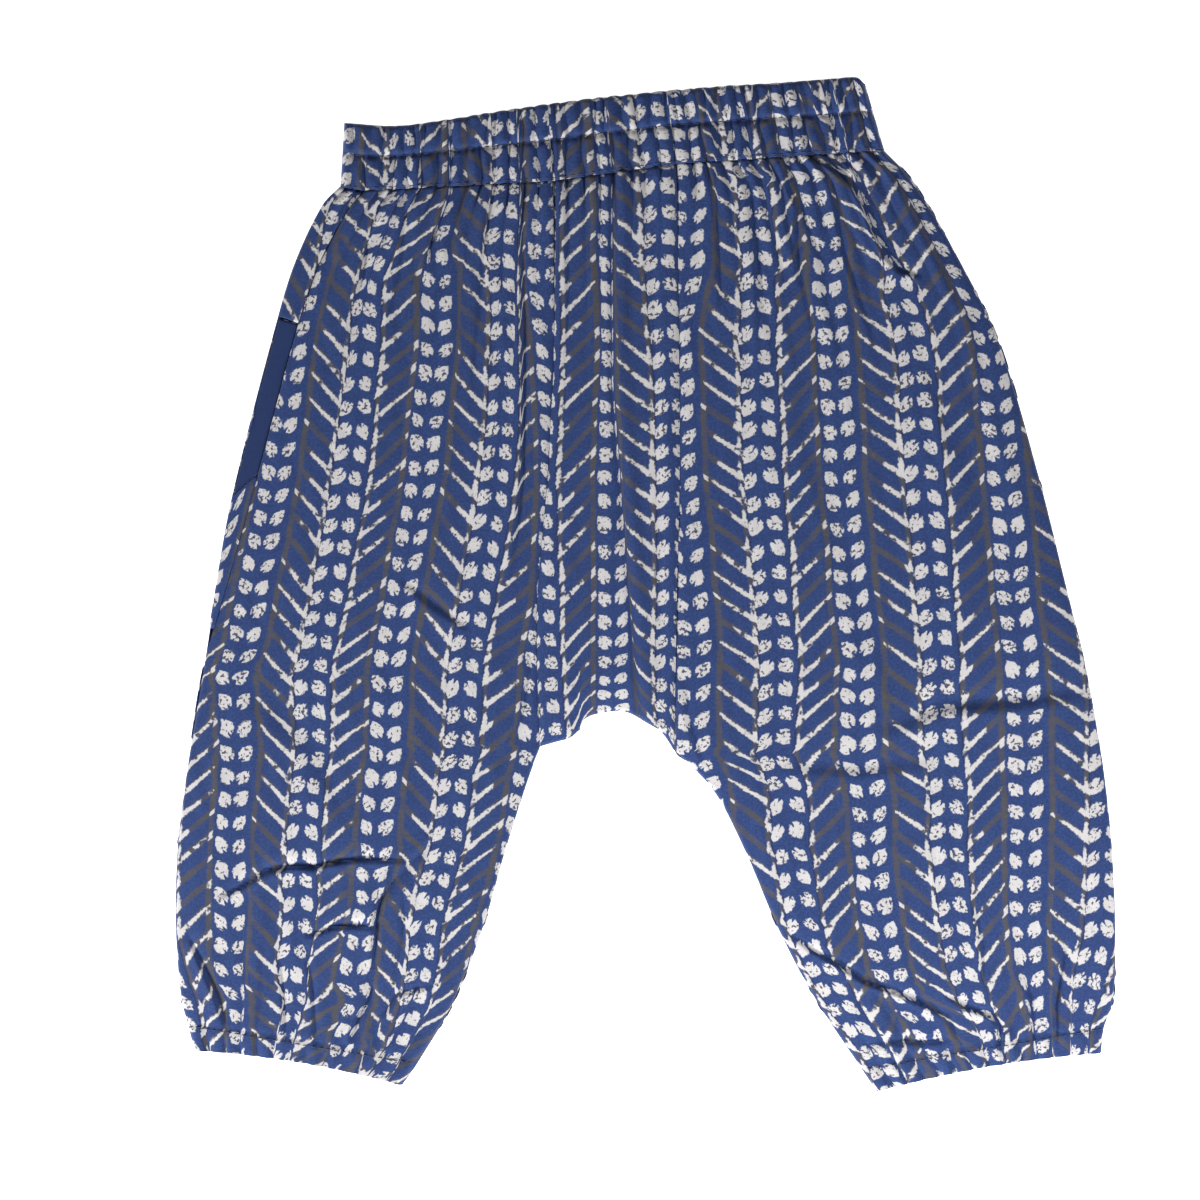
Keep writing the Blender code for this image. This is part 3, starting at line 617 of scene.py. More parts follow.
def leg_grid(side, first, last, columns, step):
    """Rows and columns over a leg: places, x and y, how far each point is across, from the
    hem and from the waist, and where the two edges lie across the print."""
    places = even_places(side, HEM, step)
    start, end = leg_edge(side, first, places), leg_edge(side, last, places)
    across = across_places(np.linalg.norm(end - start, axis=1), columns)
    x, y = spread(start, end - start, across)
    hem = edge_distance(x, y, HEM_LINES)
    y = y + HEM_BOW * 4 * across * (1 - across) * np.exp(-hem / HEM_BOW_REACH)
    prints = [table_value(LEGS[side], column, places) for column in ("print_seam", "print_inner")]
    return places, x, y, across, hem, edge_distance(x, y, [WAIST_LINE]), prints


HEM_RISE, HEM_STEP = 0.35, 0.8
HEM_DIP, HEM_DIP_WIDTH = 0.25, 1.3
SEAM_RISE, SEAM_RISE_REACH = 0.35, 0.8
UNDER_WAIST_FADE, UNDER_HEM_FADE = 22.0, 14.0


def hem_form(hem):
    """The doubled cloth of a hem, and the dip of its stitch line."""
    inside = np.clip((HEM_DEPTH + HEM_STEP / 2 - hem) / HEM_STEP, 0, 1)
    return HEM_RISE * inside - HEM_DIP * bell(hem - HEM_DEPTH, HEM_DIP_WIDTH)


def hem_cloth(hem):
    """How thick a leg's cloth is, with the turned-up hem."""
    return CLOTH + HEM_DOUBLE * np.clip((HEM_DEPTH - hem) / HEM_STEP, 0, 1)


def seam_rise(inset):
    """How far a back panel's cloth is drawn in at a seam this far away."""
    return SEAM_RISE * np.exp(-inset / SEAM_RISE_REACH)


def underside(x, y, groove, near):
    """The height of a back panel's underside, with its gathers and round edges."""
    z = np.maximum(groove * near, 0.0) * 0.8 + 0.02
    return np.maximum(z, back_top(x, y) * (1 - rounded(edge_distance(x, y, SIDE_EDGES), EDGE_ROUND)))


def lay(node, layers, cut, on="", cloth=COTTON, slot="printed_cotton", **area):
    """A piece of cloth on the table or on another piece, in place of its part from the model."""
    piece = shell(node + "_cloth", layers, cloth, up=1 if on else -1)
    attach(piece, "root")
    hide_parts(node)


# How far the prints of the back pieces are shifted across, and those of the gussets down
LEG_SHIFT, GUSSET_SHIFT, BAND_SHIFT = 21.0, 9.0, 17.0
FRONT_GUSSET_DROP, BACK_GUSSET_DROP = 3.0, 4.0


def back_leg(side):
    """The underside of a leg: flat on the table, with shallow gathers and round edges."""
    places, x, y, across, hem, waist, prints = leg_grid(side, "outline", "inner", columns=118, step=1.9)
    groove = BACK_GATHER * 0.5 - GATHERS[side].height(across, waist, hem, BACK_GATHER, 0.5)
    near = np.exp(-waist / UNDER_WAIST_FADE) + np.exp(-hem / UNDER_HEM_FADE)
    width = np.abs(x[:, -1:] - x[:, :1])
    sewn = (places <= CROTCH)[:, None]
    z = underside(x, y, groove, near) + sewn * seam_rise((1 - across) * width)
    z = z + HEM_DIP * bell(hem - HEM_DEPTH, HEM_DIP_WIDTH)
    u, v = printed("back", x, y, z, across, *prints, GATHERS[side])
    return x, y, z, hem_cloth(hem), u + LEG_SHIFT, v


# The seam has rolled on to the front where the strip is wider than ROLLED_WIDTH. Near the
# top of the pocket's mouth, a little of the printed cloth peeps out.
MOUTH_STEP, ROLLED_WIDTH = 0.004, 1.6
PEEP_AT, PEEP, PEEP_REACH = POCKET_TOP + 0.6, 0.7, 0.07
MOUTH_LIP, FACING_START, SEAM_CLEAR = 0.25, 0.30, 0.15
WRAP_GATHER, WRAP_FADE, WRAP_PITCH, WRAP_SLACK = 0.5, 26.0, 4.6, 1.25
WRAP_RIM = (0.0, 0.03, 0.1, 0.22, 0.4, 0.65, 0.9)


def side_strip(side, places):
    """The side edge at these places, how wide the strip to the seam is, and the way there."""
    outline = leg_edge(side, "outline", places)
    course = leg_edge(side, "seam", places) - outline
    width = np.linalg.norm(course, axis=1, keepdims=True)
    return outline, width, course / np.maximum(width, 1e-9)


def at_mouth(places):
    return ((places > POCKET_TOP) & (places < POCKET_FOOT))[:, None]


def peep(places):
    return PEEP * bell(places - PEEP_AT, PEEP_REACH)[:, None]


def side_wrap():
    """The strip of the back left leg that comes round the side on to the front."""
    places = even_places("left", HEM, 1.5)
    ends = [end + step for end in (POCKET_TOP, POCKET_FOOT) for step in (-MOUTH_STEP, MOUTH_STEP)]
    places = np.unique(np.concatenate([places, ends]))
    places = places[side_strip("left", places)[1][:, 0] > ROLLED_WIDTH]
    outline, width, inward = side_strip("left", places)
    reach = np.where(at_mouth(places), MOUTH_LIP + peep(places), width - SEAM_CLEAR)
    inside = WRAP_RIM[-1] + (reach - WRAP_RIM[-1]) * np.linspace(0, 1, 16)[1:]
    depth = np.concatenate([np.array(WRAP_RIM) + 0 * reach, inside], axis=1)
    depth = np.minimum(depth, reach * np.linspace(0.9, 1.0, depth.shape[1]))
    x, y = spread(outline, inward, depth)
    floor = back_top(x, y)
    waist = edge_distance(x, y, [WAIST_LINE])
    lift = WRAP_GATHER * np.exp(-waist / WRAP_FADE) * np.cos(2 * np.pi * depth / WRAP_PITCH)
    top = front_inside(x, y) + BACK_LAYER + lift - seam_rise(width - depth)
    z = floor + 0.05 + (top - floor - 0.05) * rounded(depth, EDGE_ROUND)
    seam_print = table_value(LEGS["left"], "print_seam", places)[:, None]
    u = seam_print - (width - depth) * WRAP_SLACK + LEG_SHIFT
    return x, y, z, CLOTH, u, run_along(outline)[:, None]


lay("back_left_leg", [back_leg("left"), side_wrap()], (0.170, 0.350), area=0.0475)
lay("back_right_leg", [back_leg("right")], (0.172, 0.365), area=0.0503)

# The back gusset
# A straight strip of the same cotton between the back legs, from the waist to the crotch,
# where it is sewn to the front one.
Strip = namedtuple("Strip", "name print_left print_right")
GUSSET_PRINT = (Strip("waist", 25.0, 89.0), Strip("yoke", 25.0, 89.0), Strip("hip", 25.0, 88.0),
                Strip("pocket top", 25.0, 86.0), Strip("pocket foot", 25.0, 84.0),
                Strip("low hip", 18.5, 83.5), Strip("seat", 17.5, 84.0), Strip("crotch", 17.0, 85.0))


def gusset_grid(columns, step):
    """Rows and columns over the gusset: x and y, how far each point is across and from the
    waist, and where the two edges lie across the print."""
    places = even_places("left", CROTCH, step)
    start, end = leg_edge("left", "inner", places), leg_edge("right", "inner", places)
    along = (end - start) / np.linalg.norm(end - start, axis=1)[:, None]
    start, end = start + along * SEWN_GAP, end - along * SEWN_GAP
    across = across_places(np.linalg.norm(end - start, axis=1), columns)
    x, y = spread(start, end - start, across)
    table = smooth_curve(CROTCH_EDGE, np.linspace(0, len(CROTCH_EDGE) - 1, 200))
    drop = np.interp(x[-1], table[:, 0], table[:, 1]) - y[-1]
    blend = np.maximum(0.0, 1 - (CROTCH - places) / 2.0) ** 2
    y = y + blend[:, None] * drop[None, :]
    prints = [table_value(GUSSET_PRINT, column, places) for column in ("print_left", "print_right")]
    return x, y, across, edge_distance(x, y, [WAIST_LINE]), prints


def back_gusset():
    x, y, across, waist, prints = gusset_grid(columns=70, step=2.0)
    groove = BACK_GATHER * 0.5 - GATHERS["middle"].height(across, waist, waist + GUSSET_HEM, BACK_GATHER, 0.0)
    inset = np.minimum(across, 1 - across) * np.abs(x[:, -1:] - x[:, :1])
    z = underside(x, y, groove, np.exp(-waist / UNDER_WAIST_FADE)) + seam_rise(inset)
    u, v = printed("back", x, y, z, across, *prints, GATHERS["middle"])
    return x, y, z, CLOTH, u + GUSSET_SHIFT, v + BACK_GUSSET_DROP


lay("back_gusset", [back_gusset()], (0.068, 0.216))

# The fronts of the legs
# Two wide panels gathered into the waistband and into the elastic of their hems. They lie
# on the back panels. Each main crease is a row of the table below, with its ridge on the
# right hand of a walker along its path.
Crease = namedtuple("Crease", "name width valley ridge path")
CREASES = (
    Crease("waist drape", 4.0, 2.4, 1.7, ((57.5, 162.0), (66.5, 158.0), (76.3, 151.0), (81.0, 143.0),
        (84.5, 134.0), (90.5, 122.5), (95.0, 117.8), (104.0, 115.5))),
    Crease("second drape", 3.5, 1.8, 1.0, ((50.4, 161.5), (53.4, 148.5), (56.4, 141.9), (56.6, 112.0))),
    Crease("left waist fold", 3.2, 2.2, 1.3, ((-72.5, 148.0), (-75.5, 140.5), (-77.8, 135.0),
        (-80.5, 129.0), (-84.0, 118.0))),
    Crease("side tuck", 3.6, 1.8, 1.0, ((-100.3, 136.0), (-102.5, 131.0), (-105.2, 124.5),
        (-106.7, 114.5), (-109.0, 107.0), (-112.7, 94.0))),
    Crease("gusset tuck", 3.2, 1.8, 1.0, ((-46.7, 149.5), (-46.3, 120.0), (-46.0, 80.0), (-46.5, 40.0),
        (-50.5, 0.0))),
    Crease("inner tuck", 3.0, 1.3, 0.7, ((26.0, 157.5), (26.7, 135.0), (28.0, 105.0))),
    Crease("second left valley", 4.5, 1.3, 0.6, ((-90.0, 146.0), (-92.0, 120.0), (-98.0, 92.0))),
    Crease("third left valley", 5.0, 1.2, 0.5, ((-58.0, 149.0), (-62.0, 110.0), (-66.0, 64.0))),
    Crease("right valley", 5.0, 1.3, 0.6, ((38.0, 158.0), (41.0, 130.0), (43.0, 84.0))),
    Crease("far right valley", 4.5, 1.2, 0.6, ((68.0, 156.0), (74.0, 125.0), (86.0, 90.0))),
    Crease("left seat pull", 6.0, 1.0, 0.8, ((-92.0, 2.0), (-80.0, -8.0), (-66.0, -17.0))),
    Crease("crotch pull", 4.0, 1.6, 0.9, ((-43.0, -26.0), (-47.0, -50.0), (-57.0, -70.0))),
    Crease("crotch hollow", 4.0, 1.2, 0.8, ((14.0, -34.0), (16.0, -52.0), (22.0, -68.0))),
    Crease("right seat pull", 11.0, 2.2, 1.2, ((88.0, -56.0), (112.0, -46.0), (140.0, -44.0),
        (168.0, -40.0))),
    Crease("right thigh pull", 10.0, 1.2, 0.5, ((50.0, -68.0), (80.0, -70.0), (110.0, -66.0))),
    Crease("outer knee crease", 3.2, 2.2, 0.9, ((-160.7, -117.5), (-152.5, -114.0), (-146.5, -110.5),
        (-142.5, -107.0), (-133.0, -105.0))),
    Crease("upper knee crease", 3.4, 2.4, 1.2, ((-144.0, -109.5), (-133.0, -105.6), (-125.0, -106.3),
        (-117.6, -104.4), (-107.8, -103.0), (-89.0, -103.6))),
    Crease("lower knee crease", 3.0, 2.3, 1.0, ((-128.0, -132.0), (-122.5, -130.6), (-117.6, -128.6),
        (-109.0, -128.0), (-101.0, -128.8))),
    Crease("shin tuck", 3.2, 2.6, 1.5, ((-79.0, -95.0), (-87.5, -102.9), (-95.6, -111.9),
        (-100.0, -118.4), (-101.5, -124.0), (-101.8, -134.0), (-102.5, -144.0))),
    Crease("ankle tuck", 3.2, 2.4, 1.2, ((-102.3, -150.0), (-104.5, -155.5), (-107.5, -161.0),
        (-111.3, -171.0))),
    Crease("inner ankle", 3.0, 1.5, 0.8, ((-99.5, -163.0), (-92.0, -153.5), (-80.0, -150.5))),
    Crease("outer ankle", 3.6, 1.8, 1.2, ((-171.5, -132.0), (-167.0, -142.0), (-161.0, -155.0),
        (-157.5, -166.0))),
    Crease("outer shin", 3.2, 1.1, 0.6, ((-137.5, -140.0), (-136.0, -156.0), (-135.0, -172.0))),
    Crease("middle shin", 3.0, 1.0, 0.6, ((-127.5, -136.0), (-125.0, -154.0), (-124.0, -173.0))),
    Crease("inner shin", 3.0, 1.0, 0.5, ((-90.6, -112.0), (-91.5, -132.0), (-95.0, -150.0))),
    Crease("calf crease", 2.8, 2.6, 1.3, ((54.0, -131.0), (62.0, -137.0), (71.4, -142.0), (81.6, -148.7),
        (95.8, -153.8), (105.2, -157.8), (112.3, -162.0), (116.5, -170.0))),
    Crease("shin crease", 3.2, 2.2, 1.2, ((112.0, -154.0), (121.0, -158.8), (130.0, -162.0),
        (132.5, -166.0), (131.0, -175.0))),
    Crease("hem crease", 3.0, 1.9, 0.9, ((82.0, -173.5), (92.0, -171.5), (104.0, -171.8),
        (114.0, -171.0))),
    Crease("ankle crease", 3.2, 2.3, 1.1, ((156.5, -134.0), (156.0, -142.0), (153.5, -158.0),
        (154.3, -176.0))),
    Crease("ankle ripple", 3.0, 1.7, 0.8, ((140.5, -146.0), (144.0, -156.0), (145.5, -170.0))),
    Crease("front shin", 3.2, 1.2, 0.6, ((123.5, -120.0), (126.0, -138.0), (127.0, -152.0))),
    Crease("left hollow", 14.0, 1.0, 0.6, ((-150.0, -40.0), (-128.0, -60.0), (-110.0, -90.0))),
    Crease("right hollow", 16.0, 1.0, 0.6, ((60.0, 60.0), (74.0, 10.0), (96.0, -50.0))),
    Crease("left swell", 12.0, 0.8, 0.7, ((-112.0, 80.0), (-120.0, 40.0), (-128.0, -10.0))),
    Crease("right swell", 14.0, 0.8, 0.7, ((104.0, 84.0), (122.0, 40.0), (134.0, -20.0))),
)


STEEP_AT, STEEP_SPAN, STEEP_GROWTH, VALLEY_SHARE, RIDGE_BLUNT = 0.3, 1.1, 0.06, 0.45, 1.3


def crease_height(x, y):
    """Sum of the creases: a ridge with one steep side, and a narrow valley at its foot."""
    height = np.zeros(x.shape)
    for crease in CREASES:
        away, side, along = path_distance(x, y, crease.path)
        taper = np.maximum(np.sin(np.pi * np.clip(along, 0.0, 1.0)), 0.0) ** 0.5
        beyond = (along <= 0.0) | (along >= 1.0)
        taper = np.where(beyond, 0.0, taper) * np.exp(-np.maximum(away - 3 * crease.width, 0) / crease.width)
        signed = -away * side
        span = STEEP_SPAN + STEEP_GROWTH * crease.width ** 2
        steep = np.clip(0.5 + (signed - STEEP_AT) / span, 0, 1)
        steep = steep * steep * (3 - 2 * steep)
        blunt = np.maximum(signed, 0) ** RIDGE_BLUNT / crease.width ** RIDGE_BLUNT
        ridge = crease.ridge * steep * np.exp(-blunt)
        foot = np.exp(np.minimum(signed, 0) / (VALLEY_SHARE * crease.width))
        valley = crease.valley * (1 - steep) * foot
        height += taper * (ridge - valley)
    return height


LOWEST = 0.6
CRINKLE, MORE_CRINKLE, CRINKLE_WAIST, CRINKLE_HEM = 0.35, 0.5, 60.0, 40.0


def lie_on_back(x, y, form):
    """The height of a front panel of this form, which never sinks into the back."""
    return np.maximum(front_inside(x, y) + FRONT_LAYER + form, back_top(x, y) + LOWEST)


def front_top(x, y, across, gathers, waist, hem, seed):
    """The height of a front leg above the table, before its edges are drawn in."""
    form = crease_height(x, y) + gathers.height(across, waist, hem, WAIST_GATHER, HEM_GATHER)
    loose = CRINKLE + MORE_CRINKLE * np.exp(-waist / CRINKLE_WAIST)
    loose = loose + MORE_CRINKLE * np.exp(-hem / CRINKLE_HEM)
    form = form + loose * crinkle(x + 0.2 * y, -y, seed)
    return lie_on_back(x, y, form + hem_form(hem))


def draw_in(x, y, top):
    """Bring a front panel's height down to the back panel at the free edges."""
    floor = back_top(x, y) + 0.05
    return floor + (top - floor) * rounded(edge_distance(x, y, SIDE_EDGES), EDGE_ROUND)


def seam_dip(inset, depth=0.75, reach=1.0):
    return depth * np.exp(-inset / reach)


SEEDS = {"left": 11, "right": 12, "middle": 21, "band": 31, "facing": 41}


def front_leg(side):
    places, x, y, across, hem, waist, prints = leg_grid(side, "seam", "inner", columns=132, step=1.1)
    top = front_top(x, y, across, GATHERS[side], waist, hem, SEEDS[side])
    width = np.abs(x[:, -1:] - x[:, :1])
    sewn = (places <= CROTCH)[:, None]
    top = top - sewn * seam_dip((1 - across) * width)
    rolled, mouth = side_strip(side, places)[1] > ROLLED_WIDTH, at_mouth(places)
    top = top - (rolled & ~mouth) * seam_dip(across * width)
    top = top - (rolled & mouth) * seam_dip(across * width, depth=0.5, reach=0.4)
    z = draw_in(x, y, top)
    u, v = printed(side, x, y, z, across, *prints, GATHERS[side])
    return x, y, z, hem_cloth(hem), u, v


LEFT_FRONT, RIGHT_FRONT = front_leg("left"), front_leg("right")
lay("front_left_leg", [LEFT_FRONT], (0.150, 0.350), on="back_left_leg", area=0.0450)
lay("front_right_leg", [RIGHT_FRONT], (0.172, 0.365), on="back_right_leg", area=0.0503)

# The front gusset
# The strip that shows between the front legs. It is gathered at the waist like them, and
# its lower edge, where it turns under to the back gusset, is the crotch.
SECOND_PLEAT = ((3.0, 150.0), (4.0, 60.0), (6.5, -20.0), (5.0, -50.0))


def front_gusset():
    x, y, across, waist, prints = gusset_grid(columns=84, step=1.5)
    form = GATHERS["middle"].height(across, waist, waist + GUSSET_HEM, WAIST_GATHER, 0.0)
    width = np.abs(x[:, -1:] - x[:, :1])
    away, side, _ = path_distance(x, y, TUCK_PATHS["middle tuck"])
    pleat = 0.9 * bell(away * side - 3.6, 3.0) - bell(away, 1.5)
    away, side, _ = path_distance(x, y, SECOND_PLEAT)
    pleat = pleat + 0.6 * bell(away * side - 4.0, 3.0) - 0.5 * bell(away, 1.8)
    top = lie_on_back(x, y, form + pleat + 0.5 * crinkle(x, -y, SEEDS["middle"]))
    z = draw_in(x, y, top - seam_dip(np.minimum(across, 1 - across) * width))
    u, v = printed("middle", x, y, z, across, *prints, GATHERS["middle"])
    return x, y, z, CLOTH, u, v + FRONT_GUSSET_DROP


FRONT_GUSSET = front_gusset()
lay("front_gusset", [FRONT_GUSSET], (0.068, 0.216), on="back_gusset")

# The waistband
# A casing of the same cotton over wide elastic, gathered all along, with a line of
# stitches through its middle and one at its lower edge. Its halves meet at the top.
BAND_TOP = ((-113.2, 173.5), (-93.9, 172.3), (-75.9, 174.4), (-53.1, 178.0), (-17.1, 182.8),
            (25.7, 186.9), (50.4, 188.5), (72.0, 190.2), (79.3, 190.5), (82.6, 188.0))
BAND_LAYER, BAND_GATHER, BAND_BACK, BAND_ROUND = 2.1, 1.35, 2.4, 2.0
BAND_STITCH, UPPER_PUFF, LOWER_PUFF = 0.48, 0.55, 0.45
BAND_PRINT_FOOT, BAND_PRINT_SLACK = 600.0, 1.05
BAND_DOWN = np.concatenate([[0, 0.004, 0.012, 0.024, 0.04, 0.06], np.linspace(0.085, 0.985, 40), [1.0]])


def band_columns():
    """Spots along the band's seam, with the gathers and the print of the panels above it."""
    parts = []
    panels = ((LEFT_FRONT, "left", False), (FRONT_GUSSET, "middle", False), (RIGHT_FRONT, "right", True))
    for panel, side, flip in panels:
        row_x, row_y, row_u = (panel[axis][0] for axis in (0, 1, 4))
        share = np.abs(row_x - row_x[0]) / abs(row_x[-1] - row_x[0])
        crest = GATHERS[side].height(share, 0 * share, 0 * share + BAND_HEM, 1.0, 0.0)
        rows = [row_x, row_y, row_u, crest]
        parts.append([row[::-1] if flip else row for row in rows])
    lead = np.linspace(0, 1, 14)[:-1]
    corner = LEGS["left"][0].outline
    seam_x, seam_y, seam_u = parts[0][0][0], parts[0][1][0], parts[0][2][0]
    parts.insert(0, [corner[0] + (seam_x - corner[0]) * lead, corner[1] + (seam_y - corner[1]) * lead,
                     seam_u - 11.0 * (1 - lead), 0.75 * np.sin(2 * np.pi * lead) ** 2 - 0.1])
    return [np.concatenate(rows) for rows in zip(*parts)]


def waistband(front):
    foot_x, foot_y, foot_u, crest = band_columns()
    share = (foot_x - foot_x[0]) / (foot_x[-1] - foot_x[0])
    head_x = BAND_TOP[0][0] + share * (BAND_TOP[-1][0] - BAND_TOP[0][0])
    table = smooth_curve(BAND_TOP, np.linspace(0, len(BAND_TOP) - 1, 400))
    head_y = np.interp(head_x, table[:, 0], table[:, 1]) + 0.35 * crest * np.sin(np.pi * share)
    down = BAND_DOWN[:, None]
    length = np.hypot(foot_x - head_x, foot_y - head_y)
    foot_y = foot_y + SEWN_GAP
    x, y = head_x + (foot_x - head_x) * down, head_y + (foot_y - head_y) * down
    lean = crinkle(x, 6 * (1 - down) * 25 + 0 * x, SEEDS["band"])
    edge = np.minimum(down * length, np.minimum(x - x[:, :1], x[:, -1:] - x) + 0.02)
    middle = bell((down - BAND_STITCH) * length, 1.1)
    foot = bell((1.0 - down) * length, 1.2)
    below = down > BAND_STITCH
    turn = np.pi * np.where(below, (down - BAND_STITCH) / (1 - BAND_STITCH), down / BAND_STITCH)
    puff = np.where(below, LOWER_PUFF, UPPER_PUFF) * np.abs(np.sin(turn)) ** 0.7
    wandering = share + 0.0022 * np.sin(down * 9.0 + share * 60.0)
    crests = np.interp(wandering, share, crest)
    upper = GATHERS["band"].height(wandering, 0 * x, BAND_HEM + 0 * x, 1.0, 0.0)
    blend = np.clip((BAND_STITCH - down) / 0.12 + 0.5, 0, 1) * 0.75
    crests = crests * (1 - blend) + upper * blend
    form = BAND_GATHER * crests * (1 - 0.3 * middle) + 0.5 * lean + puff
    if front:
        top = BAND_BACK + SEAM_GAP + BAND_LAYER + form - 0.5 * middle - 0.2 * foot
        z = BAND_BACK + (top - BAND_BACK) * rounded(edge, BAND_ROUND)
    else:
        groove = np.maximum(0.35 - form * 0.4, 0.0) + 0.25 * middle
        z = np.maximum(groove, BAND_BACK * (1 - rounded(edge, BAND_ROUND)))
    v = BAND_PRINT_FOOT - (1 - down) * length * BAND_PRINT_SLACK
    return x, y, z, CLOTH, foot_u + (0 if front else BAND_SHIFT), v


BAND_FRONT, BAND_BEHIND = waistband(front=True), waistband(front=False)
lay("waistband_back", [BAND_BEHIND], (0.290, 0.028))
lay("waistband_front", [BAND_FRONT], (0.290, 0.028), on="waistband_back")

# The pocket facing
# A strip of plain dark blue cotton that shows in the mouth of the side pocket, between the
# rolled side seam and the edge of the pants.


def plain_cotton():
    cloth, shader, u, v = new_cotton("plain_cotton")
    along, across = weave(u, v)
    tone = u.place(v).noise(0.12, 2.0) * 0.6 + across * 0.5 - 0.05
    colour = tone.tint((0.0030, 0.0125, 0.058, 1), (0.0050, 0.0185, 0.080, 1))
    finish_cotton(shader, colour, u, v, along, across)
    return cloth


def pocket_facing():
    gap = 0.012
    places = np.linspace(POCKET_TOP + gap, POCKET_FOOT - gap, 60)
    outline, width, inward = side_strip("left", places)
    start = FACING_START + peep(places)
    across = np.concatenate([[0, 0.01, 0.025, 0.05, 0.08, 0.12], np.linspace(0.17, 1, 18)])
    depth = start + (width - SEAM_CLEAR - start) * across
    x, y = spread(outline, inward, depth)
    floor = back_top(x, y)
    top = front_inside(x, y) + BACK_LAYER - 0.25 * np.exp(depth - width)
    top = top + 0.12 * crinkle(x, -y, SEEDS["facing"])
    z = floor + (top - floor) * rounded(depth, EDGE_ROUND)
    return x, y, z, CLOTH, depth, run_along(outline)[:, None]


FACING = pocket_facing()
lay("pocket_facing", [FACING], (0.010, 0.066), on="back_left_leg", cloth=plain_cotton(),
    slot="plain_cotton", area=0.00055)

# The stitching
# Dark blue sewing thread: one row through the middle of the waistband and one at its
# lower edge, one round each hem, and a short bar across the top of the pocket.

# A stitch is drawn through rings. Each has its share of the stitch's length and of the
# thread's radius, and how far it rises out of the cloth.
STITCH, STITCH_SPACE, THREAD, CORNERS = 2.1, 0.9, 0.17, 6
Ring = namedtuple("Ring", "part thick rise")
RINGS = (Ring(0, 0.25, -0.12), Ring(0.2, 0.9, 0.0), Ring(0.5, 1.0, 0.06), Ring(0.8, 0.9, 0.0),
         Ring(1, 0.25, -0.12))


def cloudy(shader, scale, first, second):
    """A colour that wavers between two from place to place."""
    spot = Dye(shader.id_data, None).node("ShaderNodeNewGeometry", {}, {})
    spot.noise(scale, 1.0).tint(first, second).into(shader, "Base Color")


def sewing_thread():
    thread, shader = new_finish("sewing_thread", Roughness=0.6)
    cloudy(shader, 2500.0, (0.010, 0.014, 0.045, 1), (0.022, 0.030, 0.085, 1))
    return thread


def stitch_row(points, above, made, faces):
    """Add short round stitches along a line of points, each sunk a little at its ends."""
    reach = run_along(points)

    def along(distance):
        return Vector([np.interp(distance, reach, points[:, axis]) for axis in range(3)])

    for start in np.arange(0.6, reach[-1] - STITCH, STITCH + STITCH_SPACE):
        first = len(made)
        for ring in RINGS:
            here = along(start + ring.part * STITCH)
            course = (along(start + ring.part * STITCH + 0.1) - here).normalized()
            sideways = course.cross(Vector((0, 0, 1))).normalized()
            upwards = sideways.cross(course)
            centre = here + Vector((0, 0, above * (ring.rise + THREAD * 0.6)))
            for turn in (math.tau * corner / CORNERS for corner in range(CORNERS)):
                out = sideways * math.cos(turn) + upwards * math.sin(turn)
                made.append(tuple(centre + out * THREAD * ring.thick))
        for low in range(first, len(made) - CORNERS, CORNERS):
            for corner in range(CORNERS):
                a, b = low + corner, low + (corner + 1) % CORNERS
                faces.append((a, b, b + CORNERS, a + CORNERS))
        faces.append(tuple(reversed(range(first, first + CORNERS))))
        faces.append(tuple(range(len(made) - CORNERS, len(made))))


def grid_line(grid, row):
    return np.stack([axis[row] for axis in grid[:3]], axis=-1)


def hem_line(grid):
    """The points of a leg grid that lie on its hem's stitch line."""
    hem = edge_distance(*grid[:2], HEM_LINES)
    return np.array([[np.interp(HEM_DEPTH, hem[:-61:-1, column], axis[:-61:-1, column]) for axis in grid[:3]]
                     for column in range(2, hem.shape[1] - 2)])


def stitching(name, lines):
    made, faces = [], []
    for points, above in lines:
        stitch_row(points, above, made, faces)
    piece = put_down(name, made, faces, THREAD_FINISH)
    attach(piece, "root")


THREAD_FINISH = sewing_thread()
MIDDLE_ROW = int(np.argmin(np.abs(BAND_DOWN - BAND_STITCH)))
SEAM_ROW = len(BAND_DOWN) - 3
stitching("waistband_stitches", [(grid_line(BAND_FRONT, MIDDLE_ROW), 1), (grid_line(BAND_FRONT, SEAM_ROW), 1),
                                 (grid_line(BAND_BEHIND, MIDDLE_ROW), -1)])
stitching("hem_stitches", [(hem_line(LEFT_FRONT), 1), (hem_line(RIGHT_FRONT), 1)])
stitching("pocket_bar", [(grid_line(FACING, 0)[6:], 1)])

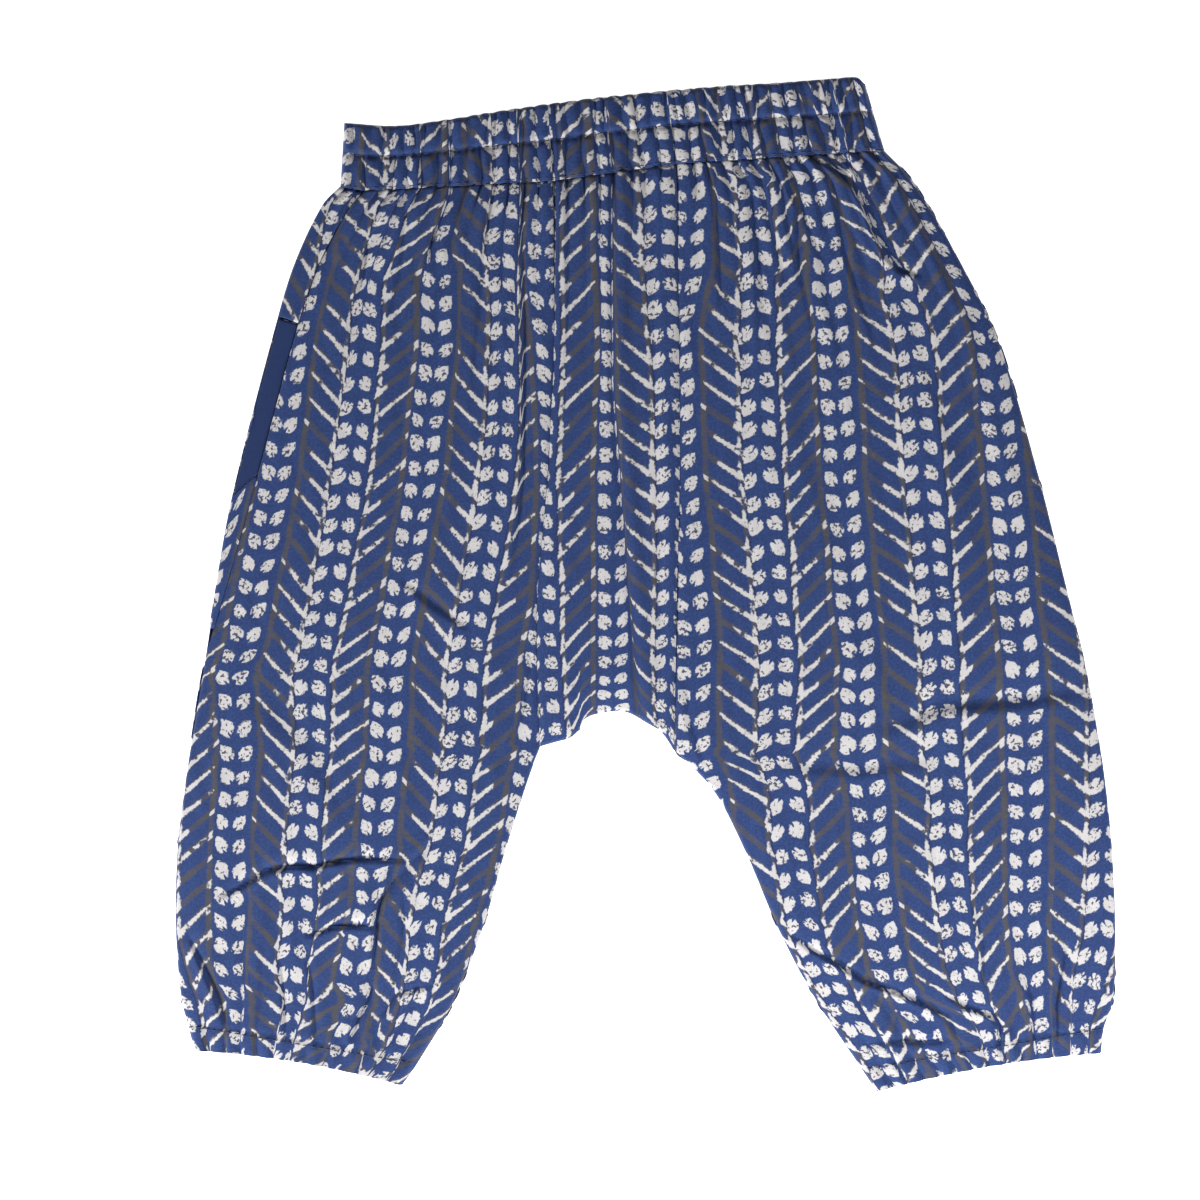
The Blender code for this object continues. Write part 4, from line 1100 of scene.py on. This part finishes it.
# The floor, the light and the camera
# A plain pale floor under soft studio light, which falls a little more on the legs than on
# the waist, and a camera straight above the garment.
WHITE = (1.0, 1.0, 1.0, 1.0)
FLOOR_HALF, FLOOR_TOP = 3000.0, -0.2
pale, floor_shader = new_finish("pale_floor", Roughness=0.9, Specular_IOR_Level=0.1,
                                Emission_Color=WHITE, Emission_Strength=0.85)
cloudy(floor_shader, 3.0, (0.93, 0.93, 0.93, 1), (0.95, 0.95, 0.95, 1))
corners = [(x * FLOOR_HALF, y * FLOOR_HALF, FLOOR_TOP) for x, y in ((-1, -1), (1, -1), (1, 1), (-1, 1))]
put_down("floor", corners, [(0, 1, 2, 3)], pale)

bpy.context.scene.view_settings.view_transform = "Standard"
world = bpy.data.worlds.new("studio")
bpy.context.scene.world = world
world.use_nodes = True
sky = world.node_tree.nodes["Background"]
sky.inputs["Color"].default_value = WHITE
sky.inputs["Strength"].default_value = 0.36

Lamp = namedtuple("Lamp", "name place size watts")
LIT_SPOT = Vector((0, -0.02, 0))
for lamp in (Lamp("key", (-0.78, -0.70, 0.42), 0.30, 23.0), Lamp("fill", (0.42, -0.50, 0.37), 0.30, 7.6)):
    light = bpy.data.lights.new(lamp.name, "AREA")
    light.shape = "DISK"
    light.size = lamp.size
    light.energy = lamp.watts
    holder = bpy.data.objects.new(lamp.name, light)
    holder.location = lamp.place
    holder.rotation_euler = (LIT_SPOT - Vector(lamp.place)).to_track_quat("-Z", "Y").to_euler()
    bpy.context.scene.collection.objects.link(holder)

FRAME_WIDTH, CAMERA_HEIGHT, CLOTH_HEIGHT, SENSOR = 0.450, 1.2, 0.005, 36.0
FRAME_CENTRE = (-0.01706, -0.0058)
camera_data = bpy.data.cameras.new("camera")
camera_data.sensor_width = SENSOR
camera_data.lens = SENSOR * (CAMERA_HEIGHT - CLOTH_HEIGHT) / FRAME_WIDTH
camera = bpy.data.objects.new("camera", camera_data)
camera.location = (*FRAME_CENTRE, CAMERA_HEIGHT)
bpy.context.scene.collection.objects.link(camera)
bpy.context.scene.camera = camera
